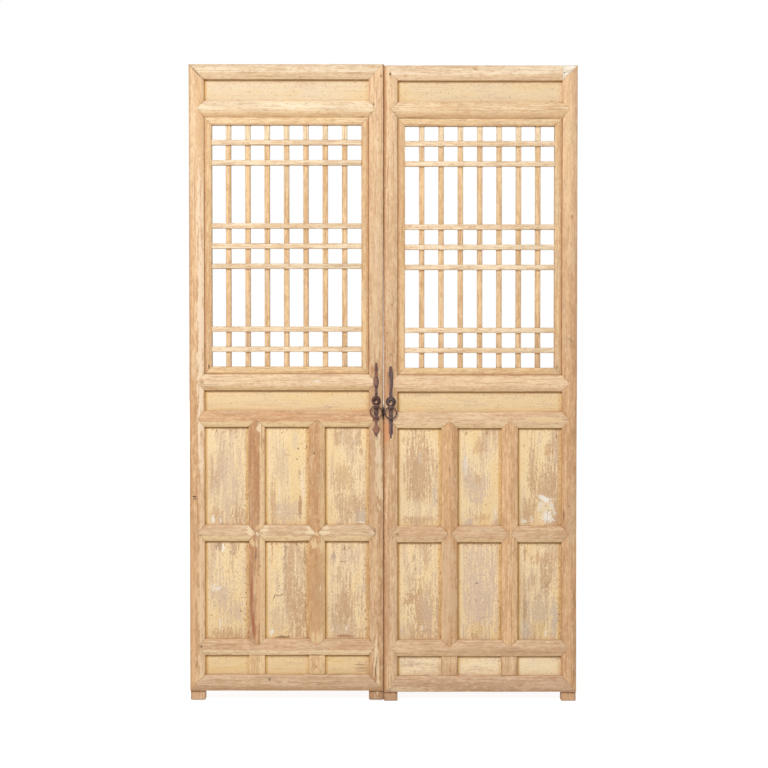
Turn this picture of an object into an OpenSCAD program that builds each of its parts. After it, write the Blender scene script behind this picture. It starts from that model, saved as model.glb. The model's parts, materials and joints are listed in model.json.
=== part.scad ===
// Antique double door: two framed leaves with open lattice lights above and plain panels below.
// Lengths are in millimetres. The front faces -Y, +Z is up, and the right leaf stands on z = 0.
// Each leaf is drawn in its own frame: u = 0 at the hinge-side edge of its clear opening,
// u = clear_w at its meeting-side edge, back plane at y = 0, feet at z = 0.

/* [Leaf layout] */
// Clear width between the stiles of each leaf
clear_w = 548; // [460:1:700]
// Face width of the hinge-side stiles
hang_w = 50; // [46:1:70]
// Face width of the left leaf's meeting stile
meet_left_w = 49; // [42:1:70]
// Face width of the right leaf's meeting stile
meet_right_w = 45.5; // [42:0.5:70]
// Gap between the two meeting stiles
leaf_gap = 1.5; // [1:0.5:8]
// How much higher the left leaf hangs than the right leaf
leaf_step = 4; // [0:0.5:10]

/* [Heights] */
// Face height of each rail
rail_w = 54; // [48:1:64]
// Height of each leaf's top rail, which is a little lower than the others
top_rail_w = 50; // [44:1:60]
// Height of the feet below the bottom rail
foot_h = 33; // [20:1:60]
// Clear height of the base panels
base_h = 66; // [50:1:120]
// Clear height of the lower panels
lower_h = 328; // [220:1:450]
// Clear height of the upper panels
upper_h = 328; // [220:1:450]
// Clear height of the belt panel
belt_h = 68; // [60:1:120]
// Height of the lattice light with its frame
lattice_h = 854; // [700:1:1100]
// Clear height of the frieze panel
frieze_h = 71; // [50:1:120]

/* [Members] */
// Depth of the stiles and rails from the back to the crown of the front
leaf_d = 48; // [44:1:60]
// Rise of the rounded front of each member above its edges
crown = 7; // [3:0.5:9]
// Rise of the frieze rail's rounder front above its edges
frieze_crown = 11; // [5:0.5:12]
// Face width of the muntins between the panels
muntin_w = 54; // [50:1:64]
// Reach of each pointed shoulder into the next member
point_d = 23; // [14:1:24]
// Thickness of the tenons
tenon_t = 14; // [10:1:15]
// Depth of the tenons that stop inside a member
stop_d = 18; // [10:1:20]
// Depth of the feet from front to back
foot_d = 31; // [22:1:34]
// Radius of the upright front edges of the feet
foot_round = 6; // [2:0.5:10]
// Chamfer round the bottom of the feet
foot_cut = 3; // [1:0.5:6]
// How far the flat base muntins stand in front of the base panels
base_muntin_rise = 9; // [4:0.5:11]

/* [Panels] */
// Thickness of the panel boards
panel_t = 12; // [8:0.5:13]
// Distance from the members' front edges back to the panels
panel_recess = 13; // [9:0.5:14]
// Depth of the grooves that hold the panels
groove_d = 8; // [6:0.5:9]

/* [Lattice] */
// Face width of the lattice frame
frame_w = 25; // [20:1:32]
// Depth of the lattice frame
frame_d = 30; // [28:1:31]
// Rise of the lattice frame's rounded front
frame_crown = 3; // [1:0.5:5]
// Face width of the lattice bars
bar_w = 18; // [12:1:22]
// Depth of the lattice bars
bar_d = 16; // [14:1:18]
// Chamfer on the front edges of the lattice bars
bar_cut = 2; // [1:0.5:3]
// How far the uprights lie behind the front of the crossbars
upright_back = 1.5; // [0.5:0.5:3]
// Number of upright lattice bars
upright_n = 7; // [5:2:9]
// Clear height of the short lattice cells
cell_h = 49; // [40:1:58]
// Length of the stub tenons at the ends of the lattice bars
stub_d = 8; // [5:1:12]

/* [Pulls] */
// Outside diameter of each pull ring
ring_d = 43; // [39:1:46]
// Thickness of the ring's wire
ring_wire_d = 4.6; // [3.6:0.2:5]
// Thickness of the iron strap plates
strap_t = 2.2; // [1.5:0.1:3]
// Reach of each strap plate above its eye
strap_up = 128; // [110:1:150]
// Reach of each strap plate below its eye
strap_down = 122; // [112:1:150]
// Radius from the eye's centre to the middle of its rim
eye_r = 9; // [8.4:0.2:9.4]
// Thickness of the eye's rim
eye_rim_d = 9; // [8:0.2:9.6]

/* [Hinges] */
// Height of each hinge
hinge_h = 90; // [75:3:120]
// Width of each hinge plate from the pin's axis
hinge_w = 34; // [30:1:38]
// Thickness of the hinge plates
hinge_t = 2.5; // [1.5:0.1:3]
// Diameter of the hinge pins
pin_d = 6; // [4:0.2:7]
// Distance from the ends of the lattice light to the middle of the nearest hinge
hinge_inset = 100; // [60:1:180]

/* [Hidden] */
$fn = 64;
SIDES = ["left", "right"];
LEAF_PARTS = [
    "hanging_stile", "meeting_stile", "top_rail", "frieze_rail", "sill_rail", "waist_rail",
    "lower_rail", "bottom_rail", "cross_rails", "outer_muntin", "inner_muntin", "base_muntins",
    "frieze_panel", "belt_panel", "upper_panels", "lower_panels", "base_panels",
    "lattice_outer_jamb", "lattice_inner_jamb", "lattice_head", "lattice_foot",
    "lattice_uprights", "lattice_bars",
    "pull_plate", "pull_knob", "pull_ring", "pull_nails", "hinge_plates", "hinge_screws"
];

// Lower edge of each rail above the foot of its leaf.
z_bottom = foot_h;
z_lower = z_bottom + rail_w + base_h;
z_cross = z_lower + rail_w + lower_h;
z_waist = z_cross + rail_w + upper_h;
z_sill = z_waist + rail_w + belt_h;
z_frieze = z_sill + rail_w + lattice_h;
z_top = z_frieze + rail_w + frieze_h;
leaf_h = z_top + top_rail_w;

// Panels stand in three columns below the waist rail.
col_w = (clear_w - 2 * muntin_w) / 3;
muntin_h = lower_h + rail_w + upper_h;
muntin_z = z_lower + rail_w;

// Planes across the depth of a leaf, all at negative y in front of the back plane.
panel_y = -(leaf_d - crown - panel_recess);
shoulder_y = panel_y - 2;
tenon_y = panel_y + 2;
tenon_in = groove_d + 1.5;
tongue = groove_d - 0.5;
base_muntin_d = base_muntin_rise - panel_y;

// Lattice: frame just behind the edges of the stiles, bars a little behind the frame.
frame_y = -(leaf_d - crown - 3);
bar_y = frame_y + frame_crown + 1;
lap_y = bar_y + bar_d / 2;
light_w = clear_w - 2 * frame_w;
light_h = lattice_h - 2 * frame_w;
light_z = z_sill + rail_w + frame_w;
upright_pitch = (light_w + bar_w) / (upright_n + 1);
cell_pitch = cell_h + bar_w;
stub_w = bar_w - 8;
stub_t = bar_d - 8;

// Pull: the eye sits at mid-height of the belt panel and the ring hangs from the lug below it.
pull_z = z_waist + rail_w + belt_h / 2;
fit_gap = 0.05;
ring_wire_r = ring_wire_d / 2;
ring_r = ring_d / 2 - ring_wire_r;
lug_r = 7.5;
lug_half = 5;
lug_bore_r = ring_wire_r + ring_r - sqrt(ring_r * ring_r - lug_half * lug_half) + 0.3;
lug_drop = eye_r + eye_rim_d / 2 + 4.5;
strap_front = leaf_d + fit_gap + strap_t;
lug_y = -(strap_front + lug_r + 0.5);
shank_r = 3.2;
shank_in = 28;
nail_r = 1.5;
nail_head_r = 4;
nail_head_h = 2.2;
nail_in = 14;
nail_u = 0.6;
nail_z = [0.83 * strap_up, 0.37 * strap_up, -0.77 * strap_down];

// Hinges: three behind each hanging stile, with the pin behind the stile's outer edge.
knuckle_r = 5.5;
axis_u = knuckle_r - hang_w;
axis_y = knuckle_r + 0.5;
pin_r = pin_d / 2;
knuckle_gap = 0.3;
hinge_z = [z_lower + rail_w + lower_h / 2, z_sill + rail_w + hinge_inset, z_frieze - hinge_inset];
hole_u = [hinge_w - 20, hinge_w - 8];
hole_z = hinge_h / 2 - 13;
screw_r = 2.2;
screw_in = 20;

// The whole door: width centred on x = 0 and depth centred on y = 0.
door_half = (2 * hang_w + 2 * clear_w + meet_left_w + meet_right_w + leaf_gap) / 2;
front_reach = lug_r - lug_y;
back_reach = 2 * axis_y;
mid_y = (front_reach - back_reach) / 2;

WOOD = "#d9b083";
WOOD_DARK = "#c99f74";
PALE_PAINT = "#e9d7a4";
HONEY = "#e2be8a";
IRON = "#4a3a35";

function meet_w(side) = side == "left" ? meet_left_w : meet_right_w;
function col_u(k) = k * (col_w + muntin_w);
function muntin_u(k) = col_u(k) + col_w;
function arc_r(w, rise) = (w * w / 4 + rise * rise) / (2 * rise);
function upright_u(k) = frame_w + (k + 1) * upright_pitch - bar_w / 2;

// Heights of the crossbars: two short cells at the bottom, two in the middle and two at the top.
function bar_heights() = let (
    edge = cell_h + bar_w / 2,
    low = light_z + edge,
    mid = light_z + light_h / 2,
    high = light_z + light_h - edge
) [low, low + cell_pitch, mid - cell_pitch, mid, mid + cell_pitch, high - cell_pitch, high];

// Each panel as [u, z, width, height] of its clear opening.
function frieze_opening() = [0, z_frieze + rail_w, clear_w, frieze_h];
function belt_opening() = [0, z_waist + rail_w, clear_w, belt_h];
function upper_opening(k) = [col_u(k), z_cross + rail_w, col_w, upper_h];
function lower_opening(k) = [col_u(k), z_lower + rail_w, col_w, lower_h];
function base_opening(k) = [col_u(k), z_bottom + rail_w, col_w, base_h];

// Puts a leaf in its place in the door. The right leaf mirrors the left one.
module on_leaf(side) {
    if (side == "left") {
        translate([hang_w - door_half, mid_y, leaf_step]) children();
    } else {
        translate([door_half - hang_w, mid_y, 0]) mirror([1, 0, 0]) children();
    }
}

// Section of a member: flat back at y = 0 and a rounded front with its crown at y = -d.
module crowned(w, d, rise) {
    r = arc_r(w, rise);
    intersection() {
        translate([-w / 2, -d]) square([w, d]);
        translate([0, r - d]) circle(r);
    }
}

// Upright member standing on z = 0, centred on u = 0.
module upright(h, w, d, rise) {
    linear_extrude(h) crowned(w, d, rise);
}

// Lying member from u = 0 to u = len, centred on z = 0.
module lying(len, w, d, rise) {
    translate([len, 0, 0]) rotate([0, -90, 0]) linear_extrude(len) crowned(w, d, rise);
}

// Prism of a u-z outline from the shoulder plane out past the crown.
module front_prism(points) {
    translate([0, shoulder_y, 0]) rotate([90, 0, 0])
        linear_extrude(leaf_d + shoulder_y + 1) polygon(points);
}

// Mirrors a joint from the hinge side of the opening to its meeting side.
module meeting_side() {
    translate([clear_w, 0, 0]) mirror([1, 0, 0]) children();
}

// Pointed shoulder as a cut: it starts 1 mm inside u = 0 and reaches its tip at u = -point_d.
module point_cut() {
    s = 1 + 1 / point_d;
    front_prism([[1, rail_w / 2 * (1 - s)], [-point_d, rail_w / 2], [1, rail_w / 2 * (1 + s)]]);
}

// Mitred corner as a cut, for a rail whose outer edge is at its top.
module corner_cut(w, h) {
    front_prism([[-1.1 * w, 1.1 * h], [0, 0], [1, 0], [1, 1.1 * h]]);
}

// Tenon lying along u from a to b, for a rail whose lower edge is at z = 0.
module rail_tenon(a, b, h = rail_w) {
    translate([a, tenon_y, tenon_in]) cube([b - a, tenon_t, h - 2 * tenon_in]);
}

// Both tenons of a full-width rail, through the stiles.
module through_tenons(side, h = rail_w) {
    rail_tenon(-hang_w, 1, h);
    rail_tenon(clear_w - 1, clear_w + meet_w(side), h);
}

// Tenons of one cross rail: through the stiles, stopped in the muntins.
module cross_tenons(k, side) {
    rail_tenon(col_u(k) - (k == 0 ? hang_w : stop_d), col_u(k) + 1);
    rail_tenon(col_u(k) + col_w - 1, col_u(k) + col_w + (k == 2 ? meet_w(side) : stop_d));
}

// Tenons of the muntins or base muntins, standing up from z = a to z = b.
module upright_tenons(a, b) {
    for (k = [0, 1]) {
        translate([muntin_u(k) + tenon_in, tenon_y, a])
            cube([muntin_w - 2 * tenon_in, tenon_t, b - a]);
    }
}

// Everything that the rails cut out of the stiles.
module stile_joints(side) {
    for (z = [z_lower, z_cross, z_waist, z_sill, z_frieze]) {
        translate([0, 0, z]) {
            point_cut();
            meeting_side() point_cut();
        }
    }
    for (z = [z_bottom, z_lower, z_cross, z_waist, z_sill, z_frieze]) {
        translate([0, 0, z]) through_tenons(side);
    }
    translate([0, 0, z_top]) {
        through_tenons(side, top_rail_w);
        corner_cut(hang_w, top_rail_w);
        meeting_side() corner_cut(meet_w(side), top_rail_w);
    }
    translate([0, 0, z_bottom + rail_w]) mirror([0, 0, 1]) {
        corner_cut(hang_w, rail_w);
        meeting_side() corner_cut(meet_w(side), rail_w);
    }
}

// Points of the muntins, as cuts into the waist rail and the lower rail.
module muntin_points() {
    flare = muntin_w / 2 / point_d;
    for (k = [0, 1]) {
        a = muntin_u(k) - flare;
        b = muntin_u(k) + muntin_w + flare;
        mid = (a + b) / 2;
        front_prism([[a, z_waist - 1], [b, z_waist - 1], [mid, z_waist + point_d]]);
        front_prism([[a, muntin_z + 1], [mid, muntin_z - point_d], [b, muntin_z + 1]]);
    }
}

// Board of a panel, with its tongue reaching t past its clear opening on every side.
module board(p, t) {
    translate([p[0] - t, panel_y, p[1] - t]) cube([p[2] + 2 * t, panel_t, p[3] + 2 * t]);
}

// Grooves for all panels of a leaf.
module panel_grooves() {
    board(frieze_opening(), groove_d);
    board(belt_opening(), groove_d);
    for (k = [0:2]) {
        board(upper_opening(k), groove_d);
        board(lower_opening(k), groove_d);
        board(base_opening(k), groove_d);
    }
}

// Plan of a foot: square at the back, with rounded front corners.
module foot_plan(w) {
    translate([-w / 2, foot_round - foot_d]) square([w, foot_d - foot_round]);
    translate([foot_round - w / 2, -foot_d]) square([w - 2 * foot_round, foot_d]);
    for (m = [-1, 1]) {
        translate([m * (w / 2 - foot_round), foot_round - foot_d]) circle(foot_round);
    }
}

// What is cut away round a foot, whose front lies back under the bottom rail.
module foot_waste(w) {
    side = foot_cut * sqrt(2);
    difference() {
        translate([-w / 2 - 1, -leaf_d - 1, -1]) cube([w + 2, leaf_d + 1, foot_h + 1]);
        translate([0, 0, -2]) linear_extrude(foot_h + 3) foot_plan(w);
    }
    for (m = [-1, 1]) {
        translate([m * w / 2, 0, 0]) rotate([0, 45, 0]) cube([side, 3 * leaf_d, side], center = true);
    }
    translate([0, -foot_d, 0]) rotate([45, 0, 0]) cube([2 * w, side, side], center = true);
}

// Stile from the foot to the top.
module stile(u, w, side) {
    difference() {
        translate([u + w / 2, 0, 0]) upright(leaf_h, w, leaf_d, crown);
        stile_joints(side);
        panel_grooves();
        translate([u + w / 2, 0, 0]) foot_waste(w);
    }
}

module hanging_stile(side) {
    color(WOOD) difference() {
        stile(-hang_w, hang_w, side);
        hinge_holes(screw_r + fit_gap);
    }
}

module meeting_stile(side) {
    color(WOOD) difference() {
        stile(clear_w, meet_w(side), side);
        at_pull(side) {
            pull_shank(shank_r + fit_gap);
            nail_shanks(nail_r + fit_gap);
        }
    }
}

// Rail body: rounded bar whose front follows a u-z outline and whose back has square shoulders.
module rail_body(side, outline, rise, h = rail_w) {
    intersection() {
        translate([-hang_w, 0, h / 2])
            lying(hang_w + clear_w + meet_w(side), h, leaf_d, rise);
        union() {
            front_prism(outline);
            translate([0, shoulder_y, 0]) cube([clear_w, -shoulder_y, h]);
        }
    }
    through_tenons(side, h);
}

function pointed_outline(a, b) = [
    [a - point_d, rail_w / 2], [a, 0], [b, 0], [b + point_d, rail_w / 2], [b, rail_w], [a, rail_w]
];

module pointed_rail(z, side, rise = crown) {
    difference() {
        translate([0, 0, z]) rail_body(side, pointed_outline(0, clear_w), rise);
        panel_grooves();
        at_pull(side) {
            strap_seat(side);
            pull_shank(shank_r + fit_gap);
            nail_shanks(nail_r + fit_gap);
        }
    }
}

// The right leaf's top rail lost its mitred outer corner, which is a separate patch.
module top_rail(side) {
    a = side == "right" ? 0 : -hang_w;
    h = top_rail_w;
    color(WOOD) difference() {
        translate([0, 0, z_top])
            rail_body(side, [[a, h], [0, 0], [clear_w, 0], [clear_w + meet_w(side), h]], crown, h);
        panel_grooves();
    }
}

module corner_patch() {
    color(HONEY) translate([0, 0, z_top]) intersection() {
        translate([-hang_w, 0, top_rail_w / 2]) lying(hang_w, top_rail_w, leaf_d, crown);
        front_prism([[-hang_w, top_rail_w], [0, 0], [0, top_rail_w]]);
    }
}

module bottom_rail(side) {
    color(WOOD_DARK) difference() {
        translate([0, 0, z_bottom])
            rail_body(
                side, [[-hang_w, 0], [0, rail_w], [clear_w, rail_w], [clear_w + meet_w(side), 0]], crown
            );
        panel_grooves();
        upright_tenons(z_bottom + rail_w - stop_d, z_bottom + rail_w + 1);
    }
}

module frieze_rail(side) {
    color(WOOD) pointed_rail(z_frieze, side, frieze_crown);
}

module sill_rail(side) {
    color(WOOD) pointed_rail(z_sill, side);
}

module waist_rail(side) {
    color(WOOD_DARK) difference() {
        pointed_rail(z_waist, side);
        muntin_points();
        upright_tenons(z_waist - 1, z_waist + stop_d);
    }
}

module lower_rail(side) {
    color(WOOD_DARK) difference() {
        pointed_rail(z_lower, side);
        muntin_points();
        upright_tenons(muntin_z - stop_d, muntin_z + 1);
        upright_tenons(z_lower - 1, z_lower + stop_d);
    }
}

// Short rails between the muntins, pointed at both ends.
module cross_rails(side) {
    color(WOOD_DARK) for (k = [0:2]) {
        a = col_u(k);
        difference() {
            translate([0, 0, z_cross]) {
                intersection() {
                    translate([a - point_d, 0, rail_w / 2])
                        lying(col_w + 2 * point_d, rail_w, leaf_d, crown);
                    union() {
                        front_prism(pointed_outline(a, a + col_w));
                        translate([a, shoulder_y, 0]) cube([col_w, -shoulder_y, rail_w]);
                    }
                }
                cross_tenons(k, side);
            }
            board(upper_opening(k), groove_d);
            board(lower_opening(k), groove_d);
        }
    }
}

// Muntin from the lower rail to the waist rail, pointed at both ends and notched for the cross rails.
module muntin(k, side) {
    u = muntin_u(k);
    color(WOOD) difference() {
        union() {
            intersection() {
                translate([u + muntin_w / 2, 0, muntin_z - point_d])
                    upright(muntin_h + 2 * point_d, muntin_w, leaf_d, crown);
                union() {
                    front_prism([
                        [u, muntin_z], [u + muntin_w / 2, muntin_z - point_d], [u + muntin_w, muntin_z],
                        [u + muntin_w, z_waist], [u + muntin_w / 2, z_waist + point_d], [u, z_waist]
                    ]);
                    translate([u, shoulder_y, muntin_z]) cube([muntin_w, -shoulder_y, muntin_h]);
                }
            }
            for (z = [muntin_z - stop_d, z_waist - 1]) {
                translate([u + tenon_in, tenon_y, z]) cube([muntin_w - 2 * tenon_in, tenon_t, stop_d + 1]);
            }
        }
        translate([u + muntin_w, 0, z_cross]) point_cut();
        translate([u, 0, z_cross]) mirror([1, 0, 0]) point_cut();
        translate([0, 0, z_cross]) {
            cross_tenons(k, side);
            cross_tenons(k + 1, side);
        }
        for (j = [k, k + 1]) {
            board(upper_opening(j), groove_d);
            board(lower_opening(j), groove_d);
        }
    }
}

module base_muntins() {
    color(WOOD_DARK) for (k = [0, 1]) {
        u = muntin_u(k);
        z = z_bottom + rail_w;
        difference() {
            union() {
                translate([u, -base_muntin_d, z]) cube([muntin_w, base_muntin_d, base_h]);
                translate([u + tenon_in, tenon_y, z - stop_d])
                    cube([muntin_w - 2 * tenon_in, tenon_t, base_h + 2 * stop_d]);
            }
            board(base_opening(k), groove_d);
            board(base_opening(k + 1), groove_d);
        }
    }
}

module frieze_panel() {
    color(PALE_PAINT) board(frieze_opening(), tongue);
}

module belt_panel() {
    color(PALE_PAINT) board(belt_opening(), tongue);
}

module upper_panels() {
    color(PALE_PAINT) for (k = [0:2]) board(upper_opening(k), tongue);
}

module lower_panels() {
    color(PALE_PAINT) for (k = [0:2]) board(lower_opening(k), tongue);
}

module base_panels() {
    color(PALE_PAINT) for (k = [0:2]) board(base_opening(k), tongue);
}

// Stub tenons at both ends of every lattice bar.
module lattice_stubs() {
    for (k = [0:upright_n - 1]) {
        translate([upright_u(k) - stub_w / 2, lap_y - stub_t / 2, light_z - stub_d])
            cube([stub_w, stub_t, light_h + 2 * stub_d]);
    }
    for (z = bar_heights()) {
        translate([frame_w - stub_d, lap_y - stub_t / 2, z - stub_w / 2])
            cube([light_w + 2 * stub_d, stub_t, stub_w]);
    }
}

// Prism of a u-z outline right through the depth of the lattice frame.
module frame_prism(points) {
    translate([0, 1, z_sill + rail_w]) rotate([90, 0, 0]) linear_extrude(leaf_d + 2) polygon(points);
}

// Frame of the lattice light: two jambs, a head and a foot, mitred at the corners.
// The outer jamb (m = 0) stands by the hinges and the inner one (m = 1) by the meeting stile.
module lattice_jamb(m) {
    color(HONEY) difference() {
        translate([m * clear_w, 0, 0]) mirror([m, 0, 0]) intersection() {
            translate([frame_w / 2, frame_y + frame_d, z_sill + rail_w])
                upright(lattice_h, frame_w, frame_d, frame_crown);
            frame_prism([[0, 0], [frame_w, frame_w], [frame_w, lattice_h - frame_w], [0, lattice_h]]);
        }
        lattice_stubs();
    }
}

module lattice_head() {
    h = lattice_h;
    color(HONEY) difference() {
        intersection() {
            translate([0, frame_y + frame_d, z_frieze - frame_w / 2])
                lying(clear_w, frame_w, frame_d, frame_crown);
            frame_prism([[0, h], [frame_w, h - frame_w], [clear_w - frame_w, h - frame_w], [clear_w, h]]);
        }
        lattice_stubs();
    }
}

module lattice_foot() {
    color(HONEY) difference() {
        intersection() {
            translate([0, frame_y + frame_d, light_z - frame_w / 2])
                lying(clear_w, frame_w, frame_d, frame_crown);
            frame_prism([[0, 0], [clear_w, 0], [clear_w - frame_w, frame_w], [frame_w, frame_w]]);
        }
        lattice_stubs();
    }
}

// Section of a lattice bar with its front at y = front, chamfered along its front edges.
module bar_section(front) {
    h = bar_w / 2;
    polygon([
        [-h, bar_d], [h, bar_d], [h, front + bar_cut], [h - bar_cut, front], [bar_cut - h, front],
        [-h, front + bar_cut]
    ]);
}

// Upright bars, notched in front where the crossbars pass.
module lattice_uprights() {
    color(HONEY) for (k = [0:upright_n - 1]) {
        translate([upright_u(k), 0, 0]) difference() {
            union() {
                translate([0, bar_y, light_z]) linear_extrude(light_h) bar_section(upright_back);
                translate([-stub_w / 2, lap_y - stub_t / 2, light_z - stub_d])
                    cube([stub_w, stub_t, light_h + 2 * stub_d]);
            }
            for (z = bar_heights()) {
                translate([-bar_w, bar_y - 1, z - bar_w / 2])
                    cube([2 * bar_w, lap_y - bar_y + 1, bar_w]);
            }
        }
    }
}

// Crossbars, notched behind where the uprights pass.
module lattice_bars() {
    color(HONEY) for (z = bar_heights()) {
        translate([0, 0, z]) difference() {
            union() {
                translate([frame_w + light_w, bar_y, 0]) rotate([0, -90, 0])
                    linear_extrude(light_w) bar_section(0);
                translate([frame_w - stub_d, lap_y - stub_t / 2, -stub_w / 2])
                    cube([light_w + 2 * stub_d, stub_t, stub_w]);
            }
            for (k = [0:upright_n - 1]) {
                translate([upright_u(k) - bar_w / 2, lap_y, -bar_w]) cube([bar_w, bar_d, 2 * bar_w]);
            }
        }
    }
}

// Moves a pull to the middle of its meeting stile, with z = 0 at the centre of its eye.
module at_pull(side) {
    translate([clear_w + meet_w(side) / 2, 0, pull_z]) children();
}

// Pointed oval of two arcs.
module leaf_shape(z, half_len, half_w) {
    r = arc_r(2 * half_len, half_w);
    translate([0, z]) intersection() {
        translate([half_w - r, 0]) circle(r);
        translate([r - half_w, 0]) circle(r);
    }
}

module stem(z0, z1, half_w) {
    translate([-half_w, z0]) square([2 * half_w, z1 - z0]);
}

// Outline of the left strap plate: two leaves on a stem above the eye; a lobe behind the ring,
// a collar and a spade below it.
module leafy_strap() {
    stem(-0.68 * strap_down, 0.78 * strap_up, 4.5);
    leaf_shape(-0.3 * strap_down, 0.2 * strap_down, 8);
    leaf_shape(0.48 * strap_up, 0.22 * strap_up, 8.5);
    leaf_shape(0.82 * strap_up, 0.18 * strap_up, 5);
    translate([0, 0.95 * strap_up]) circle(0.028 * strap_up);
    stem(-0.56 * strap_down, -0.47 * strap_down, 9);
    polygon([
        [-4.5, -0.66 * strap_down], [-13, -0.79 * strap_down], [0, -strap_down],
        [13, -0.79 * strap_down], [4.5, -0.66 * strap_down]
    ]);
}

// Outline of the right strap plate: a straight strap with a drawn-out tip at each end.
module plain_strap() {
    half = [
        [-3.8, 0.92 * strap_up], [-5.6, 0.85 * strap_up], [-7.6, 0.74 * strap_up], [-7.6, 0.44 * strap_up],
        [-5.6, 0.3 * strap_up], [-6.8, -0.46 * strap_down], [-6.8, -0.86 * strap_down],
        [-3.2, -0.9 * strap_down], [-2.2, -strap_down]
    ];
    other_half = [for (k = [len(half) - 1:-1:0]) [-half[k][0], half[k][1]]];
    polygon(concat(half, other_half));
}

// Radius of the round seat behind the eye.
function seat_r(side) = eye_r + eye_rim_d / 2 + (side == "left" ? 2 : 3.5);

// Both plates have a round seat behind the eye.
module strap_outline(side) {
    circle(seat_r(side));
    if (side == "left") {
        leafy_strap();
    } else {
        plain_strap();
    }
}

// Prism of the strap's outline, from behind the crown out to the front.
module strap_prism(side) {
    translate([0, 10 - leaf_d, 0]) rotate([90, 0, 0]) linear_extrude(20) strap_outline(side);
}

// Round rod along the stile, used to shape the strap to the stile's front.
module stile_round(side, extra) {
    r = arc_r(meet_w(side), crown);
    translate([0, r - leaf_d, -strap_down - 10])
        cylinder(r = r + extra, h = strap_up + strap_down + 20, $fn = 96);
}

// Bed for the strap where the points of the rails stand above the stile's round.
module strap_seat(side) {
    difference() {
        strap_prism(side);
        stile_round(side, 0);
    }
}

module pull_shank(r) {
    translate([0, shank_in - leaf_d, -lug_drop]) rotate([90, 0, 0])
        cylinder(r = r, h = shank_in - leaf_d - lug_y - lug_bore_r - 1.5);
}

module nail_shanks(r) {
    for (z = nail_z) {
        translate([nail_u, nail_in - leaf_d, z]) rotate([90, 0, 0])
            cylinder(r = r, h = nail_in + strap_front - leaf_d);
    }
}

module pull_plate(side) {
    color(IRON) at_pull(side) difference() {
        intersection() {
            strap_prism(side);
            stile_round(side, fit_gap + strap_t);
        }
        stile_round(side, fit_gap);
        translate([0, 10 - leaf_d, 0]) rotate([90, 0, 0])
            cylinder(r = eye_r - eye_rim_d / 2, h = 20);
        pull_shank(shank_r + fit_gap);
        nail_shanks(nail_r + fit_gap);
    }
}

// Forged eye with a lug below it. The lug's cross bore carries the ring.
module pull_knob(side) {
    color(IRON) at_pull(side) difference() {
        union() {
            translate([0, -strap_front - eye_rim_d / 2, 0]) rotate([90, 0, 0])
                rotate_extrude() translate([eye_r, 0]) circle(eye_rim_d / 2);
            translate([0, lug_y, -lug_drop]) rotate([0, 90, 0])
                cylinder(r = lug_r, h = 2 * lug_half, center = true);
            pull_shank(shank_r);
        }
        translate([0, lug_y, -lug_drop]) rotate([0, 90, 0])
            cylinder(r = lug_bore_r, h = 4 * lug_half, center = true);
    }
}

module pull_ring(side) {
    color(IRON) at_pull(side) translate([0, lug_y, -lug_drop - ring_r]) rotate([90, 0, 0])
        rotate_extrude() translate([ring_r, 0]) circle(ring_wire_r);
}

// Half of a nail's head, turned round its axis.
module nail_cap() {
    r = arc_r(2 * nail_head_r, nail_head_h);
    rotate_extrude() intersection() {
        translate([0, nail_head_h - r]) circle(r);
        square([nail_head_r + 1, nail_head_h + 1]);
    }
}

module pull_nails(side) {
    color(IRON) at_pull(side) {
        nail_shanks(nail_r);
        for (z = nail_z) translate([nail_u, -strap_front, z]) rotate([90, 0, 0]) nail_cap();
    }
}

// Four holes of each hinge plate, from behind the plates through to the depth of the screws.
module hinge_holes(r) {
    for (z = hinge_z) for (u = hole_u) for (m = [-1, 1]) {
        translate([axis_u + u, hinge_t, z + m * hole_z]) rotate([90, 0, 0])
            cylinder(r = r, h = hinge_t + screw_in);
    }
}

// Leaf side of each hinge: a plate on the back of the stile with a knuckle at each end.
module hinge_plates() {
    color(IRON) difference() {
        for (z = hinge_z) {
            difference() {
                translate([axis_u, 0, z - hinge_h / 2]) {
                    cube([hinge_w, hinge_t, hinge_h]);
                    translate([0, axis_y, 0]) cylinder(r = knuckle_r, h = hinge_h);
                }
                translate([axis_u - knuckle_r - 1, -1, z - hinge_h / 6 - knuckle_gap / 2])
                    cube([2 * knuckle_r + 2, 2 * axis_y + 2, hinge_h / 3 + knuckle_gap]);
                translate([axis_u, axis_y, z - hinge_h])
                    cylinder(r = pin_r + fit_gap, h = 2 * hinge_h);
            }
        }
        hinge_holes(screw_r + fit_gap);
    }
}

module hinge_screws() {
    color(IRON) {
        hinge_holes(screw_r);
        for (z = hinge_z) for (u = hole_u) for (m = [-1, 1]) {
            translate([axis_u + u, hinge_t, z + m * hole_z]) rotate([-90, 0, 0])
                cylinder(r = 1.8 * screw_r, h = 1.2);
        }
    }
}

// Frame side of each hinge: a plate facing back, with one knuckle in the middle and four screw holes.
module frame_plate(z) {
    difference() {
        union() {
            translate([axis_u, 2 * axis_y - hinge_t, z - hinge_h / 2])
                cube([hinge_w, hinge_t, hinge_h]);
            translate([axis_u, axis_y, z - hinge_h / 6 + knuckle_gap / 2])
                cylinder(r = knuckle_r, h = hinge_h / 3 - knuckle_gap);
        }
        for (m = [0, 1]) {
            translate([axis_u - 1, axis_y, z]) mirror([0, 0, m])
                translate([0, 0, hinge_h / 6 - knuckle_gap / 2])
                    cube([knuckle_r + 2, 2 * axis_y, hinge_h]);
        }
        translate([axis_u, axis_y, z - hinge_h]) cylinder(r = pin_r + fit_gap, h = 2 * hinge_h);
        for (u = hole_u) for (m = [-1, 1]) {
            translate([axis_u + u, 2 * axis_y + 1, z + m * hole_z]) rotate([90, 0, 0])
                cylinder(r = screw_r + fit_gap, h = hinge_t + 2);
        }
    }
}

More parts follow.
